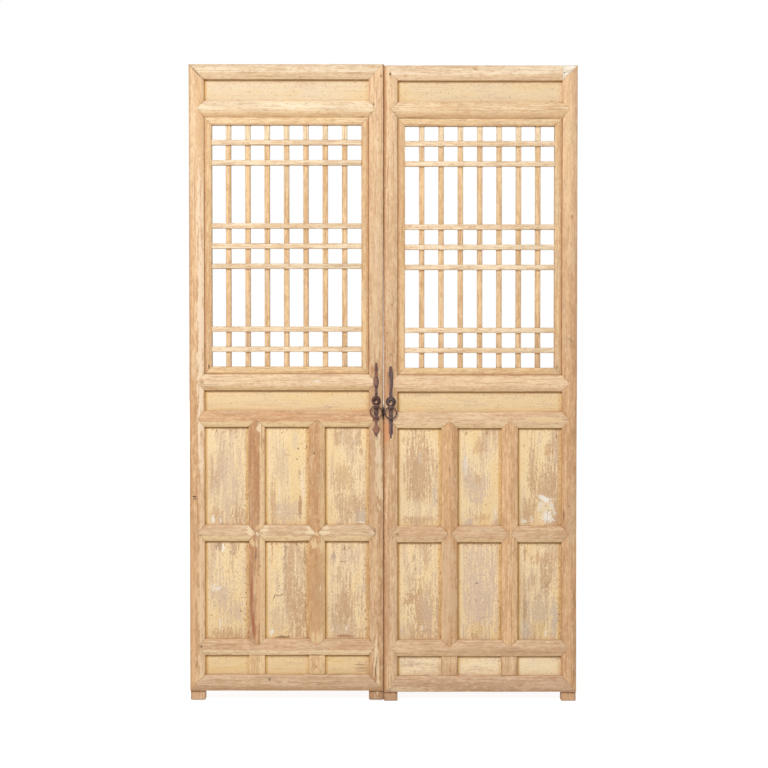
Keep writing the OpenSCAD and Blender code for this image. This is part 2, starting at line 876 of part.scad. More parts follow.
// Hinge pin with a flat head on top.
module hinge_pin(z) {
    translate([axis_u, axis_y, z - hinge_h / 2]) cylinder(r = pin_r, h = hinge_h + 1);
    translate([axis_u, axis_y, z + hinge_h / 2 + knuckle_gap]) cylinder(r = knuckle_r - 0.5, h = 3);
}

// What stays on the door frame: six plates, each with its own pin.
module frame_hinges() {
    color(IRON) for (s = SIDES) on_leaf(s) for (z = hinge_z) {
        frame_plate(z);
        hinge_pin(z);
    }
}

for (s = SIDES) {
    on_leaf(s) hanging_stile(s);
    on_leaf(s) meeting_stile(s);
    on_leaf(s) top_rail(s);
    on_leaf(s) frieze_rail(s);
    on_leaf(s) sill_rail(s);
    on_leaf(s) waist_rail(s);
    on_leaf(s) lower_rail(s);
    on_leaf(s) bottom_rail(s);
    on_leaf(s) cross_rails(s);
    on_leaf(s) muntin(0, s);
    on_leaf(s) muntin(1, s);
    on_leaf(s) base_muntins();
    on_leaf(s) frieze_panel();
    on_leaf(s) belt_panel();
    on_leaf(s) upper_panels();
    on_leaf(s) lower_panels();
    on_leaf(s) base_panels();
    on_leaf(s) lattice_jamb(0);
    on_leaf(s) lattice_jamb(1);
    on_leaf(s) lattice_head();
    on_leaf(s) lattice_foot();
    on_leaf(s) lattice_uprights();
    on_leaf(s) lattice_bars();
    on_leaf(s) pull_plate(s);
    on_leaf(s) pull_knob(s);
    on_leaf(s) pull_ring(s);
    on_leaf(s) pull_nails(s);
    on_leaf(s) hinge_plates();
    on_leaf(s) hinge_screws();
}
on_leaf("right") corner_patch();  // right_corner_patch
frame_hinges();
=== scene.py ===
"""Looks of the antique double door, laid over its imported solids. Lengths are in metres."""

import json
import math

import bmesh
import bpy
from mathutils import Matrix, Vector, noise

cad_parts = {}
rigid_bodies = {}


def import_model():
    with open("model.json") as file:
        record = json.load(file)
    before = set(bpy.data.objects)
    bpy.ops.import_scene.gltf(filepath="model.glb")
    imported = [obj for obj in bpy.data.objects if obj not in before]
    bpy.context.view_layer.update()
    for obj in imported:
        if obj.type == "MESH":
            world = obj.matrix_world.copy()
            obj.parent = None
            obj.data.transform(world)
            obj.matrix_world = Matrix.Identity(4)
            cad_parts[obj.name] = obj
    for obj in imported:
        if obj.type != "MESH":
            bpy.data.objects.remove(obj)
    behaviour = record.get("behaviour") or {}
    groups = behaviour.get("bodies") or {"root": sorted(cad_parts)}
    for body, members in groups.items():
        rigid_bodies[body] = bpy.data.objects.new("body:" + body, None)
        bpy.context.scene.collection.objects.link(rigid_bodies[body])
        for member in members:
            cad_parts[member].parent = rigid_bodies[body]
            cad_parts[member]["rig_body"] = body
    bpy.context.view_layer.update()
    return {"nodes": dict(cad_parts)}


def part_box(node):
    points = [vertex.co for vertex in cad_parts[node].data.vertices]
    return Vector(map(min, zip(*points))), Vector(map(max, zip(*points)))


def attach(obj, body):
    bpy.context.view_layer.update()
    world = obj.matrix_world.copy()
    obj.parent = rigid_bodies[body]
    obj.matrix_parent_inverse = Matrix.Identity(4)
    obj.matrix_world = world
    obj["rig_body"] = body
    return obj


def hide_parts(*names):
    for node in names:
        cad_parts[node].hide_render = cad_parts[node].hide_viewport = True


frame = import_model()

# Camera, as the photograph was taken
IMAGE_PX = 768
M_PER_PX = 0.01 / 3
SENSOR_MM = 36.0
VIEW_CENTRE = Vector((0.0027, -0.0142, 1.064))
VIEW_DISTANCE = 5.6
VIEW_PITCH = math.radians(1.36)
LOOK = Vector((0.0, math.cos(VIEW_PITCH), -math.sin(VIEW_PITCH)))
UP = Vector((0.0, math.sin(VIEW_PITCH), math.cos(VIEW_PITCH)))
RIGHT = Vector((1.0, 0.0, 0.0))
EYE = VIEW_CENTRE - VIEW_DISTANCE * LOOK

# Depths of the leaves' planes, front to back
PANEL_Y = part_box("left_upper_panels")[0].y
BACK_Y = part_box("left_waist_rail")[1].y

SIDES = ("left", "right")


def spot(px, py):
    """The point of the door's face that a pixel of the photograph shows."""
    across = (px - IMAGE_PX / 2) * M_PER_PX / VIEW_DISTANCE
    upward = (IMAGE_PX / 2 - py) * M_PER_PX / VIEW_DISTANCE
    ray = LOOK + RIGHT * across + UP * upward
    return EYE + ray * ((VIEW_CENTRE.y - EYE.y) / ray.y)


def tone(red, green, blue):
    """A display colour, 0 to 255 a channel, as the linear colour that shaders take."""
    def linear(level):
        share = level / 255
        return share / 12.92 if share <= 0.04045 else ((share + 0.055) / 1.055) ** 2.4
    return (linear(red), linear(green), linear(blue), 1.0)


# Tones of the door, named for what they are
CREAM = tone(248, 226, 188)
PALE_PAINT = tone(245, 219, 173)
FRIEZE_PAINT = tone(232, 209, 174)
BELT_PAINT = tone(236, 207, 160)
YELLOW_PAINT = tone(232, 192, 116)
STRAW = tone(236, 207, 158)
HONEY = tone(238, 203, 154)
TAN = tone(226, 184, 139)
ORANGE_TAN = tone(222, 174, 126)
PINK_TAN = tone(216, 176, 138)
GREY_TAN = tone(214, 188, 156)
FADED = tone(220, 192, 158)
WORN = tone(203, 165, 128)
BROWN = tone(200, 154, 112)
DEEP_BROWN = tone(168, 122, 86)
RED_BROWN = tone(168, 104, 70)
LILAC = tone(213, 186, 160)
ASH = tone(206, 192, 176)
CHALK = tone(250, 244, 234)
GRIME = tone(92, 64, 42)
SOOT = tone(56, 42, 34)
BACK_LIGHT = tone(226, 190, 148)
BACK_DARK = tone(190, 144, 102)
END_GRAIN = tone(172, 128, 90)
OCHRE = tone(212, 168, 98)
UNDER_RAIL_SHADE_AND_GRIME = tone(176, 134, 76)
# Painted shade and grime under the rails, along the panels' heads
UMBER = tone(132, 98, 60)
# Painted shade and grime for the seams between the leaves and beside the lattice frames
SEAM_SHADE_AND_GRIME = tone(170, 116, 70)


class Shader:
    """A node material. Most calls add nodes and return the socket that carries the result."""

    def __init__(self, name, seed=0):
        self.material = bpy.data.materials.new(name)
        self.material.use_nodes = True
        self.nodes = self.material.node_tree.nodes
        self.links = self.material.node_tree.links
        self.nodes.clear()
        self.shift = (seed * 0.731, seed * 1.173, seed * 0.377)
        coordinates = self.nodes.new("ShaderNodeTexCoord")
        self.place = coordinates.outputs["Object"]
        self.x, self.y, self.z = self.parts(self.place)
        self.facing = self.parts(coordinates.outputs["Normal"])

    def feed(self, socket, value):
        if isinstance(value, bpy.types.NodeSocket):
            self.links.new(value, socket)
        else:
            socket.default_value = value

    def add(self, kind, settings=None, **inputs):
        node = self.nodes.new(kind)
        for key, value in (settings or {}).items():
            setattr(node, key, value)
        for name, value in inputs.items():
            self.feed(node.inputs[name.replace("_", " ")], value)
        return node

    def parts(self, vector):
        return self.add("ShaderNodeSeparateXYZ", Vector=vector).outputs

    def math(self, operation, first, second=0.0):
        node = self.add("ShaderNodeMath", {"operation": operation})
        self.feed(node.inputs[0], first)
        self.feed(node.inputs[1], second)
        return node.outputs[0]

    def times(self, first, second):
        return self.math("MULTIPLY", first, second)

    def plus(self, first, second):
        return self.math("ADD", first, second)

    def most(self, *values):
        result = values[0]
        for value in values[1:]:
            result = self.math("MAXIMUM", result, value)
        return result

    def step(self, value, low, high):
        """0 at low and 1 at high, smooth between; low may be the larger."""
        node = self.add("ShaderNodeMapRange", {"interpolation_type": "SMOOTHSTEP"}, Value=value)
        node.inputs["From Min"].default_value = low
        node.inputs["From Max"].default_value = high
        return node.outputs[0]

    def mix(self, amount, under, over):
        node = self.add("ShaderNodeMix", {"data_type": "RGBA"})
        self.feed(node.inputs[0], amount)
        self.feed(node.inputs[6], under)
        self.feed(node.inputs[7], over)
        return node.outputs[2]

    def grain(self, along, across_size, along_size, detail, roughness):
        """Noise drawn out along an axis, with the sizes of its features."""
        scale = [1 / across_size] * 3
        scale["XYZ".index(along)] = 1 / along_size
        mapped = self.add("ShaderNodeMapping", Vector=self.place, Location=self.shift, Scale=scale)
        node = self.add("ShaderNodeTexNoise", Vector=mapped.outputs[0], Scale=1.0, Detail=detail,
                        Roughness=roughness)
        return node.outputs[0]

    def ragged(self, size, reach):
        """The place, pushed about by noise so that an outline drawn on it is uneven."""
        push = self.add("ShaderNodeTexNoise", Vector=self.place, Scale=1 / size, Detail=3.0)
        centred = self.add("ShaderNodeVectorMath", {"operation": "SUBTRACT"})
        self.feed(centred.inputs[0], push.outputs["Color"])
        self.feed(centred.inputs[1], (0.5, 0.5, 0.5))
        moved = self.add("ShaderNodeVectorMath", {"operation": "MULTIPLY_ADD"})
        self.feed(moved.inputs[0], centred.outputs[0])
        self.feed(moved.inputs[1], (reach, reach, reach))
        self.feed(moved.inputs[2], self.place)
        return moved.outputs[0]

    def offset(self, at, centre, half_size, turn):
        """Distance from a spot on the face, given in photo pixels, with the half size as the unit."""
        middle = spot(*centre)
        reach = [side * M_PER_PX for side in half_size]
        mapped = self.add("ShaderNodeMapping", {"vector_type": "TEXTURE"}, Vector=at,
                          Location=(middle.x, 0.0, middle.z), Rotation=(0.0, math.radians(turn), 0.0),
                          Scale=(reach[0], 1e3, reach[1]))
        node = self.add("ShaderNodeVectorMath", {"operation": "LENGTH"})
        self.feed(node.inputs[0], mapped.outputs[0])
        return node.outputs["Value"]

    def blot(self, at, centre, half_size, turn=0.0):
        """A blot for stains and painted shadows: 1 inside an ellipse, falling softly to 0 just outside it.
        """
        return self.step(self.offset(at, centre, half_size, turn), 1.2, 0.35)

    def flake(self, breakup, at, centre, half_size, turn=0.0):
        """A worn place: an ellipse whose edge breaks up along the grain."""
        near = self.step(self.offset(at, centre, half_size, turn), 2.1, 0.0)
        broken = self.times(self.math("SUBTRACT", breakup, 0.5), 5.5)
        whole = self.step(self.plus(self.times(near, 0.86), broken), 0.3, 0.64)
        return self.times(whole, self.step(near, 0.06, 0.3))

    def band(self, coordinate, centre, reach, core=0.3):
        """1 within core of reach from a line, falling to 0 at reach."""
        gap = self.math("ABSOLUTE", self.math("SUBTRACT", coordinate, centre))
        return self.step(gap, reach, reach * core)

    def specks(self, cell, size, share):
        """Round dots in a share of the cells of a scattered pattern."""
        node = self.add("ShaderNodeTexVoronoi", Vector=self.place, Scale=1 / cell)
        chosen = self.step(self.parts(node.outputs["Color"])[0], share + 0.01, share - 0.01)
        return self.times(chosen, self.step(node.outputs["Distance"], size / cell, 0.5 * size / cell))

    def crevice_shade_and_dirt(self, reach, from_light=0.72, to_dark=0.4):
        """1 in inside corners and joints, 0 in the open; it places painted shade and dirt."""
        node = self.add("ShaderNodeAmbientOcclusion", {"samples": 6}, Distance=reach)
        return self.step(node.outputs["AO"], from_light, to_dark)

    def finish(self, colour, roughness, height, bump_m, specular=0.2, metallic=0.0):
        bump = self.add("ShaderNodeBump", Strength=0.8, Distance=bump_m, Height=height)
        shader = self.add("ShaderNodeBsdfPrincipled", Base_Color=colour, Roughness=roughness,
                          Metallic=metallic, Normal=bump.outputs[0])
        shader.inputs["Specular IOR Level"].default_value = specular
        self.add("ShaderNodeOutputMaterial", Surface=shader.outputs[0])
        return self.material


def draw_marks(s, colour, at, breakup, flakes, stains):
    """Lays named local marks over a colour: worn places first, then stains, cracks, smears and painted
    shadows.
    """
    for _, centre, half_size, paint, strength, *turn in flakes:
        colour = s.mix(s.times(s.flake(breakup, at, centre, half_size, *turn), strength), colour, paint)
    for _, centre, half_size, paint, strength, *turn in stains:
        colour = s.mix(s.times(s.blot(at, centre, half_size, *turn), strength), colour, paint)
    return colour


def backed(s, colour, streak, broad, line, dirt):
    """Unpainted, weathered wood on the faces that look to the back, and painted shade and dirt in the
    corners.
    """
    behind = s.step(s.facing[1], 0.3, 0.6)
    raw = s.mix(s.step(streak, 0.4, 0.6), BACK_DARK, BACK_LIGHT)
    raw = s.mix(s.times(s.step(broad, 0.5, 0.62), 0.6), raw, GREY_TAN)
    raw = s.mix(s.times(s.step(broad, 0.48, 0.36), 0.55), raw, DEEP_BROWN)
    raw = s.mix(s.times(s.step(line, 0.45, 0.35), 0.65), raw, DEEP_BROWN)
    raw = s.mix(s.times(s.specks(0.11, 0.007, 0.2), 0.6), raw, RED_BROWN)
    # Painted shade and dirt in the corners of the back faces.
    raw = s.mix(s.times(s.crevice_shade_and_dirt(0.03, 0.9, 0.5), 0.45), raw, UMBER)
    colour = s.mix(s.times(behind, 0.95), colour, raw)
    # Painted shade and dirt in corners and joints; dirt sets their strength.
    return s.mix(s.times(s.crevice_shade_and_dirt(0.01), dirt), colour, UMBER)


def wood(node, along, light, dark, bands=(), flakes=(), stains=(), seed=0, grain_width=0.007, top_paleness=0.0):
    """Worn wood of one member. A band is (axis, line, reach, tone, strength, core)."""
    s = Shader(node, seed)
    ragged = s.ragged(0.02, 0.005)
    streak = s.grain(along, grain_width, 0.15, 4.0, 0.6)
    broad = s.grain(along, 0.04, 0.35, 3.0, 0.5)
    fleck = s.grain(along, 0.0045, 0.022, 3.0, 0.6)
    pores = s.grain(along, 0.0028, 0.12, 2.0, 0.5)
    drift = s.grain(along, 0.055, 0.21, 2.0, 0.5)
    mottle = s.grain(along, 0.011, 0.034, 3.0, 0.6)
    dust = s.grain(along, 0.004, 0.017, 2.0, 0.6)
    breakup = s.plus(s.times(streak, 0.4), s.plus(s.times(fleck, 0.35), s.times(mottle, 0.25)))
    field = s.plus(s.times(streak, 0.35), s.plus(s.times(broad, 0.3), s.times(mottle, 0.35)))
    colour = s.mix(s.step(field, 0.43, 0.57), dark, light)
    colour = s.mix(s.times(s.step(drift, 0.5, 0.7), 0.4), colour, GREY_TAN)
    # Stiles grow paler towards the top.
    upper_paleness = s.times(s.step(s.z, 1.0, 2.05), top_paleness)
    colour = s.mix(upper_paleness, colour, tone(250, 214, 172))
    chips = s.step(breakup, 0.38, 0.46)
    spread = s.parts(ragged)
    # Bands along edges; some are painted shade: along the seams, the lattice frames, under the lattice head
    # and bars, and under the frieze rails.
    for axis, line, reach, band_tone, strength, core in bands:
        kept = s.times(s.band(spread["XYZ".index(axis)], line, reach, core), chips)
        colour = s.mix(s.times(kept, strength), colour, band_tone)
    crumbs = s.step(breakup, 0.57, 0.64)
    colour = s.mix(s.times(crumbs, 0.22), colour, CREAM)
    colour = s.mix(s.times(s.step(pores, 0.45, 0.33), 0.52), colour, DEEP_BROWN)
    colour = s.mix(s.times(s.step(fleck, 0.42, 0.3), 0.3), colour, DEEP_BROWN)
    colour = s.mix(s.times(s.step(dust, 0.43, 0.34), 0.6), colour, BROWN)
    colour = s.mix(s.times(s.step(dust, 0.56, 0.68), 0.34), colour, CREAM)
    colour = s.mix(s.times(s.specks(0.02, 0.0016, 0.12), 0.6), colour, SOOT)
    colour = draw_marks(s, colour, ragged, breakup, flakes, stains)
    ends = s.step(s.math("ABSOLUTE", s.facing["XYZ".index(along)]), 0.9, 0.98)
    colour = s.mix(s.times(ends, s.plus(0.35, s.times(mottle, 0.6))), colour, END_GRAIN)
    colour = backed(s, colour, streak, broad, pores, 0.16)
    height = s.plus(s.times(streak, 0.6), s.plus(s.times(fleck, 0.3), s.times(crumbs, 0.1)))
    return s.finish(colour, s.plus(0.55, s.times(streak, 0.2)), height, 0.0012)


def board(node, along, openings, head, wear, paint, yellow_edge, flakes, stains, seed):
    """Painted boards worn through. openings are the (left, right) sides that show, head their top."""
    s = Shader(node, seed)
    ragged = s.ragged(0.02, 0.008)
    streak = s.grain(along, 0.007, 0.1, 4.0, 0.6)
    broad = s.grain(along, 0.06, 0.2, 3.0, 0.55)
    fleck = s.grain(along, 0.006, 0.017, 4.0, 0.65)
    scratch = s.grain(along, 0.003, 0.16, 2.0, 0.5)
    hue = s.grain(along, 0.035, 0.11, 3.0, 0.5)
    crumb = s.grain(along, 0.005, 0.007, 3.0, 0.6)
    dust = s.grain(along, 0.0042, 0.0075, 2.0, 0.6)
    breakup = s.plus(s.times(streak, 0.4), s.plus(s.times(fleck, 0.35), s.times(crumb, 0.25)))
    breakup = s.plus(breakup, s.times(s.math("SUBTRACT", dust, 0.5), 0.22))
    field = s.plus(s.times(breakup, 0.6), s.times(broad, 0.4))
    colour = s.mix(s.times(s.step(broad, 0.5, 0.34), 0.3), paint, YELLOW_PAINT)
    faded = s.step(field, 0.52 - wear * 0.1, 0.59 - wear * 0.1)
    worn = s.step(field, 0.58 - wear * 0.1, 0.64 - wear * 0.1)
    colour = s.mix(s.times(faded, 0.75), colour, s.mix(s.step(hue, 0.42, 0.58), FADED, LILAC))
    colour = s.mix(s.times(worn, 0.8), colour, WORN)
    colour = draw_marks(s, colour, ragged, breakup, flakes, ())
    colour = s.mix(s.times(s.step(scratch, 0.6, 0.7), 0.4), colour, BROWN)
    colour = s.mix(s.times(s.step(breakup, 0.57, 0.64), 0.25), colour, CREAM)
    rim = s.most(*[s.band(s.x, right, 0.013, 0.5) for _, right in openings])
    rim = s.times(rim, s.step(breakup, 0.34, 0.5))
    colour = s.mix(s.times(rim, yellow_edge), colour, OCHRE)
    colour = s.mix(s.times(s.step(fleck, 0.41, 0.28), 0.45), colour, DEEP_BROWN)
    colour = s.mix(s.times(s.step(dust, 0.41, 0.33), 0.15 + 0.9 * wear), colour, BROWN)
    colour = s.mix(s.times(s.step(dust, 0.57, 0.66), 0.2 + 0.6 * wear), colour, CREAM)
    spatter = s.grain(along, 0.0055, 0.009, 3.0, 0.65)
    colour = s.mix(s.times(s.step(spatter, 0.37, 0.3), 0.1 + 1.2 * wear), colour, DEEP_BROWN)
    rough = s.most(*[s.band(s.x, line, 0.02, 0.4) for opening in openings for line in opening])
    rough = s.most(rough, s.band(s.z, head, 0.03, 0.3))
    notches = s.times(rough, s.step(spatter, 0.43, 0.36))
    colour = s.mix(s.times(notches, 0.2 + 1.2 * wear), colour, DEEP_BROWN)
    colour = s.mix(s.times(s.specks(0.012, 0.0019, 0.08 + 0.3 * wear), 0.75), colour, GRIME)
    colour = draw_marks(s, colour, ragged, breakup, (), stains)
    bright = s.most(*[s.band(s.x, left + 0.013, 0.009, 0.4) for left, _ in openings])
    bright = s.times(bright, s.step(breakup, 0.4, 0.56))
    colour = s.mix(s.times(bright, yellow_edge), colour, PALE_PAINT)
    # Painted shade and grime along the left side of each opening.
    sides = s.most(*[s.band(s.x, left, 0.011, 0.4) for left, _ in openings])
    colour = s.mix(s.times(sides, 0.75), colour, OCHRE)
    # Painted shade and grime along the panel's head, under the rail.
    colour = s.mix(s.times(s.band(s.z, head, 0.0095, 0.4), 0.7), colour, UNDER_RAIL_SHADE_AND_GRIME)
    colour = backed(s, colour, streak, broad, scratch, 0.1)
    height = s.plus(s.times(streak, 0.35), s.times(worn, -0.6))
    return s.finish(colour, s.plus(0.6, s.times(worn, 0.15)), height, 0.001)


def iron(name, light, dark, rust, seed=0, stains=()):
    """Forged iron, brown with rust, rubbed brighter on its proud places."""
    s = Shader(name, seed)
    crust = s.grain("Z", 0.006, 0.006, 4.0, 0.65)
    pits = s.grain("Z", 0.0018, 0.0018, 2.0, 0.5)
    bloom = s.grain("Z", 0.012, 0.02, 3.0, 0.6)
    colour = s.mix(s.step(crust, 0.35, 0.65), dark, light)
    colour = s.mix(s.times(s.step(bloom, 0.5, 0.62), 0.6), colour, rust)
    colour = s.mix(s.times(s.step(pits, 0.56, 0.66), 0.5), colour, rust)
    # Painted shade and grime in the iron's hollows.
    colour = s.mix(s.times(s.crevice_shade_and_dirt(0.006), 0.6), colour, SOOT)
    colour = draw_marks(s, colour, s.place, crust, (), stains)
    height = s.plus(s.times(crust, 0.6), s.times(pits, 0.4))
    return s.finish(colour, s.plus(0.45, s.times(crust, 0.35)), height, 0.0008, 0.4, 0.3)


# Worn meshes: bevels of long edges and of slanting joint edges, and the edges that get them
ARRIS = 0.0011
JOINT = 0.0004
LEAST_ARRIS = 0.012
LEAST_JOINT = 0.001
LEAST_EDGE = 0.0003
CORNER = math.radians(25)
SLANT = 0.2
FRONT_ARRIS_Y = PANEL_Y + 0.004
BACK_ARRIS_Y = BACK_Y - 0.002

# Slices across a member, which give its hollows and nicks points to move
SLICE = 0.016
SLICE_SHIFT = 0.0003
SAME_POINT = 1e-6
SLIVER = 1e-5
FLAT = math.radians(0.5)
SMOOTH = math.radians(24)

# Hollows on the faces in front of WORN_Y, and nicks where a mean normal shorter than TURNED shows an edge
WORN_Y = PANEL_Y - 0.0005
LEAST_AREA = 1e-12
WAVE = 0.00045
WAVES_PER_M = 18
NICK = 0.0012
NICKS_PER_M = 55
NICK_FROM = 0.25
TURNED = 0.985

# The left leaf's meeting edge bows out to close the joint, apart from a stretch above the rings,
# which opens sharply at its foot and closes slowly towards its head
BOWED_NODE = "left_meeting_stile"
BOW = 0.00142
BOW_CUTS = (0.35, 0.65)
BOW_MARGIN = 1e-4
BOW_FRONT_Y = PANEL_Y - 0.008
BOW_BACK_Y = BACK_Y - 0.004
BOW_FOOT = spot(383, 406).z
BOW_OPEN = spot(383, 355).z
BOW_HEAD = spot(383, 225).z


def aged(node, arris=ARRIS, slice_length=SLICE, bowed=False):
    """A worn copy of a wooden node: eased arrises, faint hollows and nicks. It stands for the node."""
    source = frame["nodes"][node]
    mesh = bmesh.new()
    mesh.from_mesh(source.data)
    bmesh.ops.remove_doubles(mesh, verts=mesh.verts, dist=SAME_POINT)
    bmesh.ops.dissolve_limit(mesh, angle_limit=FLAT, verts=mesh.verts, edges=mesh.edges)
    bmesh.ops.dissolve_degenerate(mesh, dist=LEAST_EDGE, edges=mesh.edges)
    for kind, size, steps, clear in ((is_joint, JOINT, 1, True), (is_arris, arris, 2, False)):
        edges = [edge for edge in mesh.edges if kind(edge)]
        bmesh.ops.bevel(mesh, geom=edges, offset=size, segments=steps, profile=0.5, affect="EDGES",
                        clamp_overlap=clear)
    low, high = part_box(node)
    along = 0 if high.x - low.x > high.z - low.z else 2
    count = int((high[along] - low[along]) / slice_length)
    normal = Vector((1, 0, 0)) if along == 0 else Vector((0, 0, 1))
    for index in range(1, count):
        cut(mesh, low + normal * (index * slice_length + SLICE_SHIFT), normal)
    if bowed:
        for depth in BOW_CUTS:
            cut(mesh, low.lerp(high, depth), Vector((0, 1, 0)))
    bmesh.ops.triangulate(mesh, faces=mesh.faces, quad_method="BEAUTY", ngon_method="BEAUTY")
    bmesh.ops.dissolve_degenerate(mesh, dist=SLIVER, edges=mesh.edges)
    mesh.normal_update()
    leans = [lean(vertex) for vertex in mesh.verts]
    for vertex, outward in zip(mesh.verts, leans):
        if bowed and vertex.co.x > high.x - BOW_MARGIN and BOW_FRONT_Y < vertex.co.y < BOW_BACK_Y:
            closed = (vertex.co.z - BOW_OPEN) / (BOW_HEAD - BOW_OPEN)
            vertex.co.x += BOW * (1.0 if vertex.co.z < BOW_FOOT else min(max(closed, 0.0), 1.0))
        if vertex.co.y > WORN_Y:
            continue
        swell = 0.5 + 0.5 * noise.noise(vertex.co * WAVES_PER_M)
        nick = 0.0
        if outward.length < TURNED:
            nick = max(0.0, noise.noise(vertex.co * NICKS_PER_M) - NICK_FROM)
        vertex.co -= outward.normalized() * (WAVE * swell + NICK * nick)
    piece_mesh = bpy.data.meshes.new(node + "_worn")
    mesh.to_mesh(piece_mesh)
    mesh.free()
    piece_mesh.shade_smooth()
    piece_mesh.set_sharp_from_angle(angle=SMOOTH)
    piece = bpy.data.objects.new(node + "_worn", piece_mesh)
    bpy.context.scene.collection.objects.link(piece)
    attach(piece, source["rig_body"])
    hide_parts(node)
    return piece


def lean(vertex):
    """Mean normal of a vertex's faces, weighed by area. It is shorter than 1 where the faces turn."""
    faces = [(face.calc_area(), face.normal) for face in vertex.link_faces]
    total = sum((normal * area for area, normal in faces), Vector())
    return total / max(sum(area for area, _ in faces), LEAST_AREA)


def cut(mesh, point, normal):
    """Splits every face of a mesh along a plane."""
    everything = mesh.verts[:] + mesh.edges[:] + mesh.faces[:]
    bmesh.ops.bisect_plane(mesh, geom=everything, dist=SAME_POINT, plane_co=point, plane_no=normal)


def is_sharp(edge, least):
    """An outside corner of at least the given length, between two faces."""
    if len(edge.link_faces) != 2 or edge.calc_length() < least or not edge.is_convex:
        return False
    return edge.calc_face_angle() > CORNER


def is_slanting(edge):
    """An edge that runs neither upright nor across."""
    reach = edge.verts[0].co - edge.verts[1].co
    return min(abs(reach.x), abs(reach.z)) > SLANT * reach.length


def is_joint(edge):
    """A slanting edge of a mitre or a pointed shoulder, which shows as a fine line on the front."""
    depths = [vertex.co.y for vertex in edge.verts]
    return is_sharp(edge, LEAST_JOINT) and is_slanting(edge) and max(depths) < PANEL_Y


def is_arris(edge):
    """A long straight edge on the front or the back of the leaf, where hands and weather reach it."""
    depths = [vertex.co.y for vertex in edge.verts]
    if not is_sharp(edge, LEAST_ARRIS) or is_slanting(edge):
        return False
    return max(depths) < FRONT_ARRIS_Y or min(depths) > BACK_ARRIS_Y


def dress(piece, material):
    """Gives a piece one material."""
    piece.data.materials.clear()
    piece.data.materials.append(material)


def openings_of(side, dividers):
    """The (left, right) sides of the spaces between a leaf's stiles and the given uprights."""
    uprights = ["hanging_stile", *dividers, "meeting_stile"]
    boxes = sorted((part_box(f"{side}_{name}") for name in uprights), key=lambda box: box[0].x)
    return [(before[1].x, after[0].x) for before, after in zip(boxes, boxes[1:])]


def along_edge(side, part, edge, reach, band_tone, strength, core=0.86):
    """A band of a member's face along one of its edges: left, right, foot or head."""
    low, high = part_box(f"{side}_{part}")
    axis, line = {"left": ("X", low.x), "right": ("X", high.x),
                  "foot": ("Z", low.z), "head": ("Z", high.z)}[edge]
    return (axis, line, reach, band_tone, strength, core)


# Marks are (name, (pixel across, pixel down), (half width, half height), tone, strength[, turn]),
# placed on the photograph
LEFT_UPPER_FLAKES = [
    ("lilac wash", (228, 482), (11, 36), LILAC, 0.55),
    ("brown foot left", (214, 516), (7, 7), WORN, 0.6),
    ("brown foot right", (240, 515), (8, 8), WORN, 0.7),
    ("worn strip", (246, 493), (1.8, 14), BROWN, 0.6),
    ("faded foot", (283, 512), (15, 12), LILAC, 0.75),
    ("faded head", (281, 462), (7, 20), FADED, 0.6),
    ("brown strip", (272.5, 505), (3.5, 18), WORN, 0.7),
    ("peeled paint", (302, 487), (1.9, 12), tone(246, 224, 196), 0.8, -5),
    ("bare under peel", (300, 505), (2, 9), RED_BROWN, 0.6),
    ("dark rim of peel", (299.3, 473), (1, 6), DEEP_BROWN, 0.6),
    ("brown flake", (336, 438), (3.2, 8), WORN, 0.85),
    ("arrow flake", (359.6, 441), (2.2, 9), DEEP_BROWN, 0.45),
    ("arrow tail", (360.5, 452), (2.2, 3), DEEP_BROWN, 0.4),
    ("faded side", (332, 472), (4, 14), FADED, 0.7),
    ("mottled middle", (344, 478), (12, 12), WORN, 0.65),
    ("mottled foot", (350, 506), (15, 13), WORN, 0.65),
    ("grey foot", (362, 517), (6, 5), ASH, 0.6),
    ("white blob", (212.5, 520), (1.8, 3), CHALK, 0.9),
    ("white dab", (220.5, 521), (0.8, 2.2), CHALK, 0.6),
    ("white streak", (279, 498), (0.9, 13), CHALK, 0.35),
    ("white dot", (279.6, 512.5), (1, 1.7), CHALK, 0.8),
]
LEFT_UPPER_STAINS = [
    ("fly spot", (216.5, 431), (0.8, 0.8), SOOT, 0.7),
    ("fly spot low", (209.5, 436), (0.7, 1.2), GRIME, 0.6),
    ("brown spot", (237, 437), (0.8, 1.8), DEEP_BROWN, 0.6),
    ("grey tint", (295, 440), (4, 12), ASH, 0.35),
    ("knot hole", (298, 448.5), (1.1, 1.1), SOOT, 0.8),
    ("knot hole above", (301.5, 444), (0.7, 0.7), SOOT, 0.7),
    ("knot hole right", (306.7, 447), (0.9, 1.4), GRIME, 0.8),
    ("knot hole below", (297, 459.5), (0.8, 0.9), GRIME, 0.7),
    ("knot hole low", (307.5, 459), (0.8, 1), GRIME, 0.6),
    ("red thread", (287, 455), (4, 0.6), RED_BROWN, 0.5),
    ("white foot", (361, 522.5), (4, 1.2), CHALK, 0.6),
    ("dark corner", (266.6, 523), (1.1, 1.5), SOOT, 0.7),
    ("dark corner right", (326.8, 523.6), (1.1, 1.5), SOOT, 0.65),
]
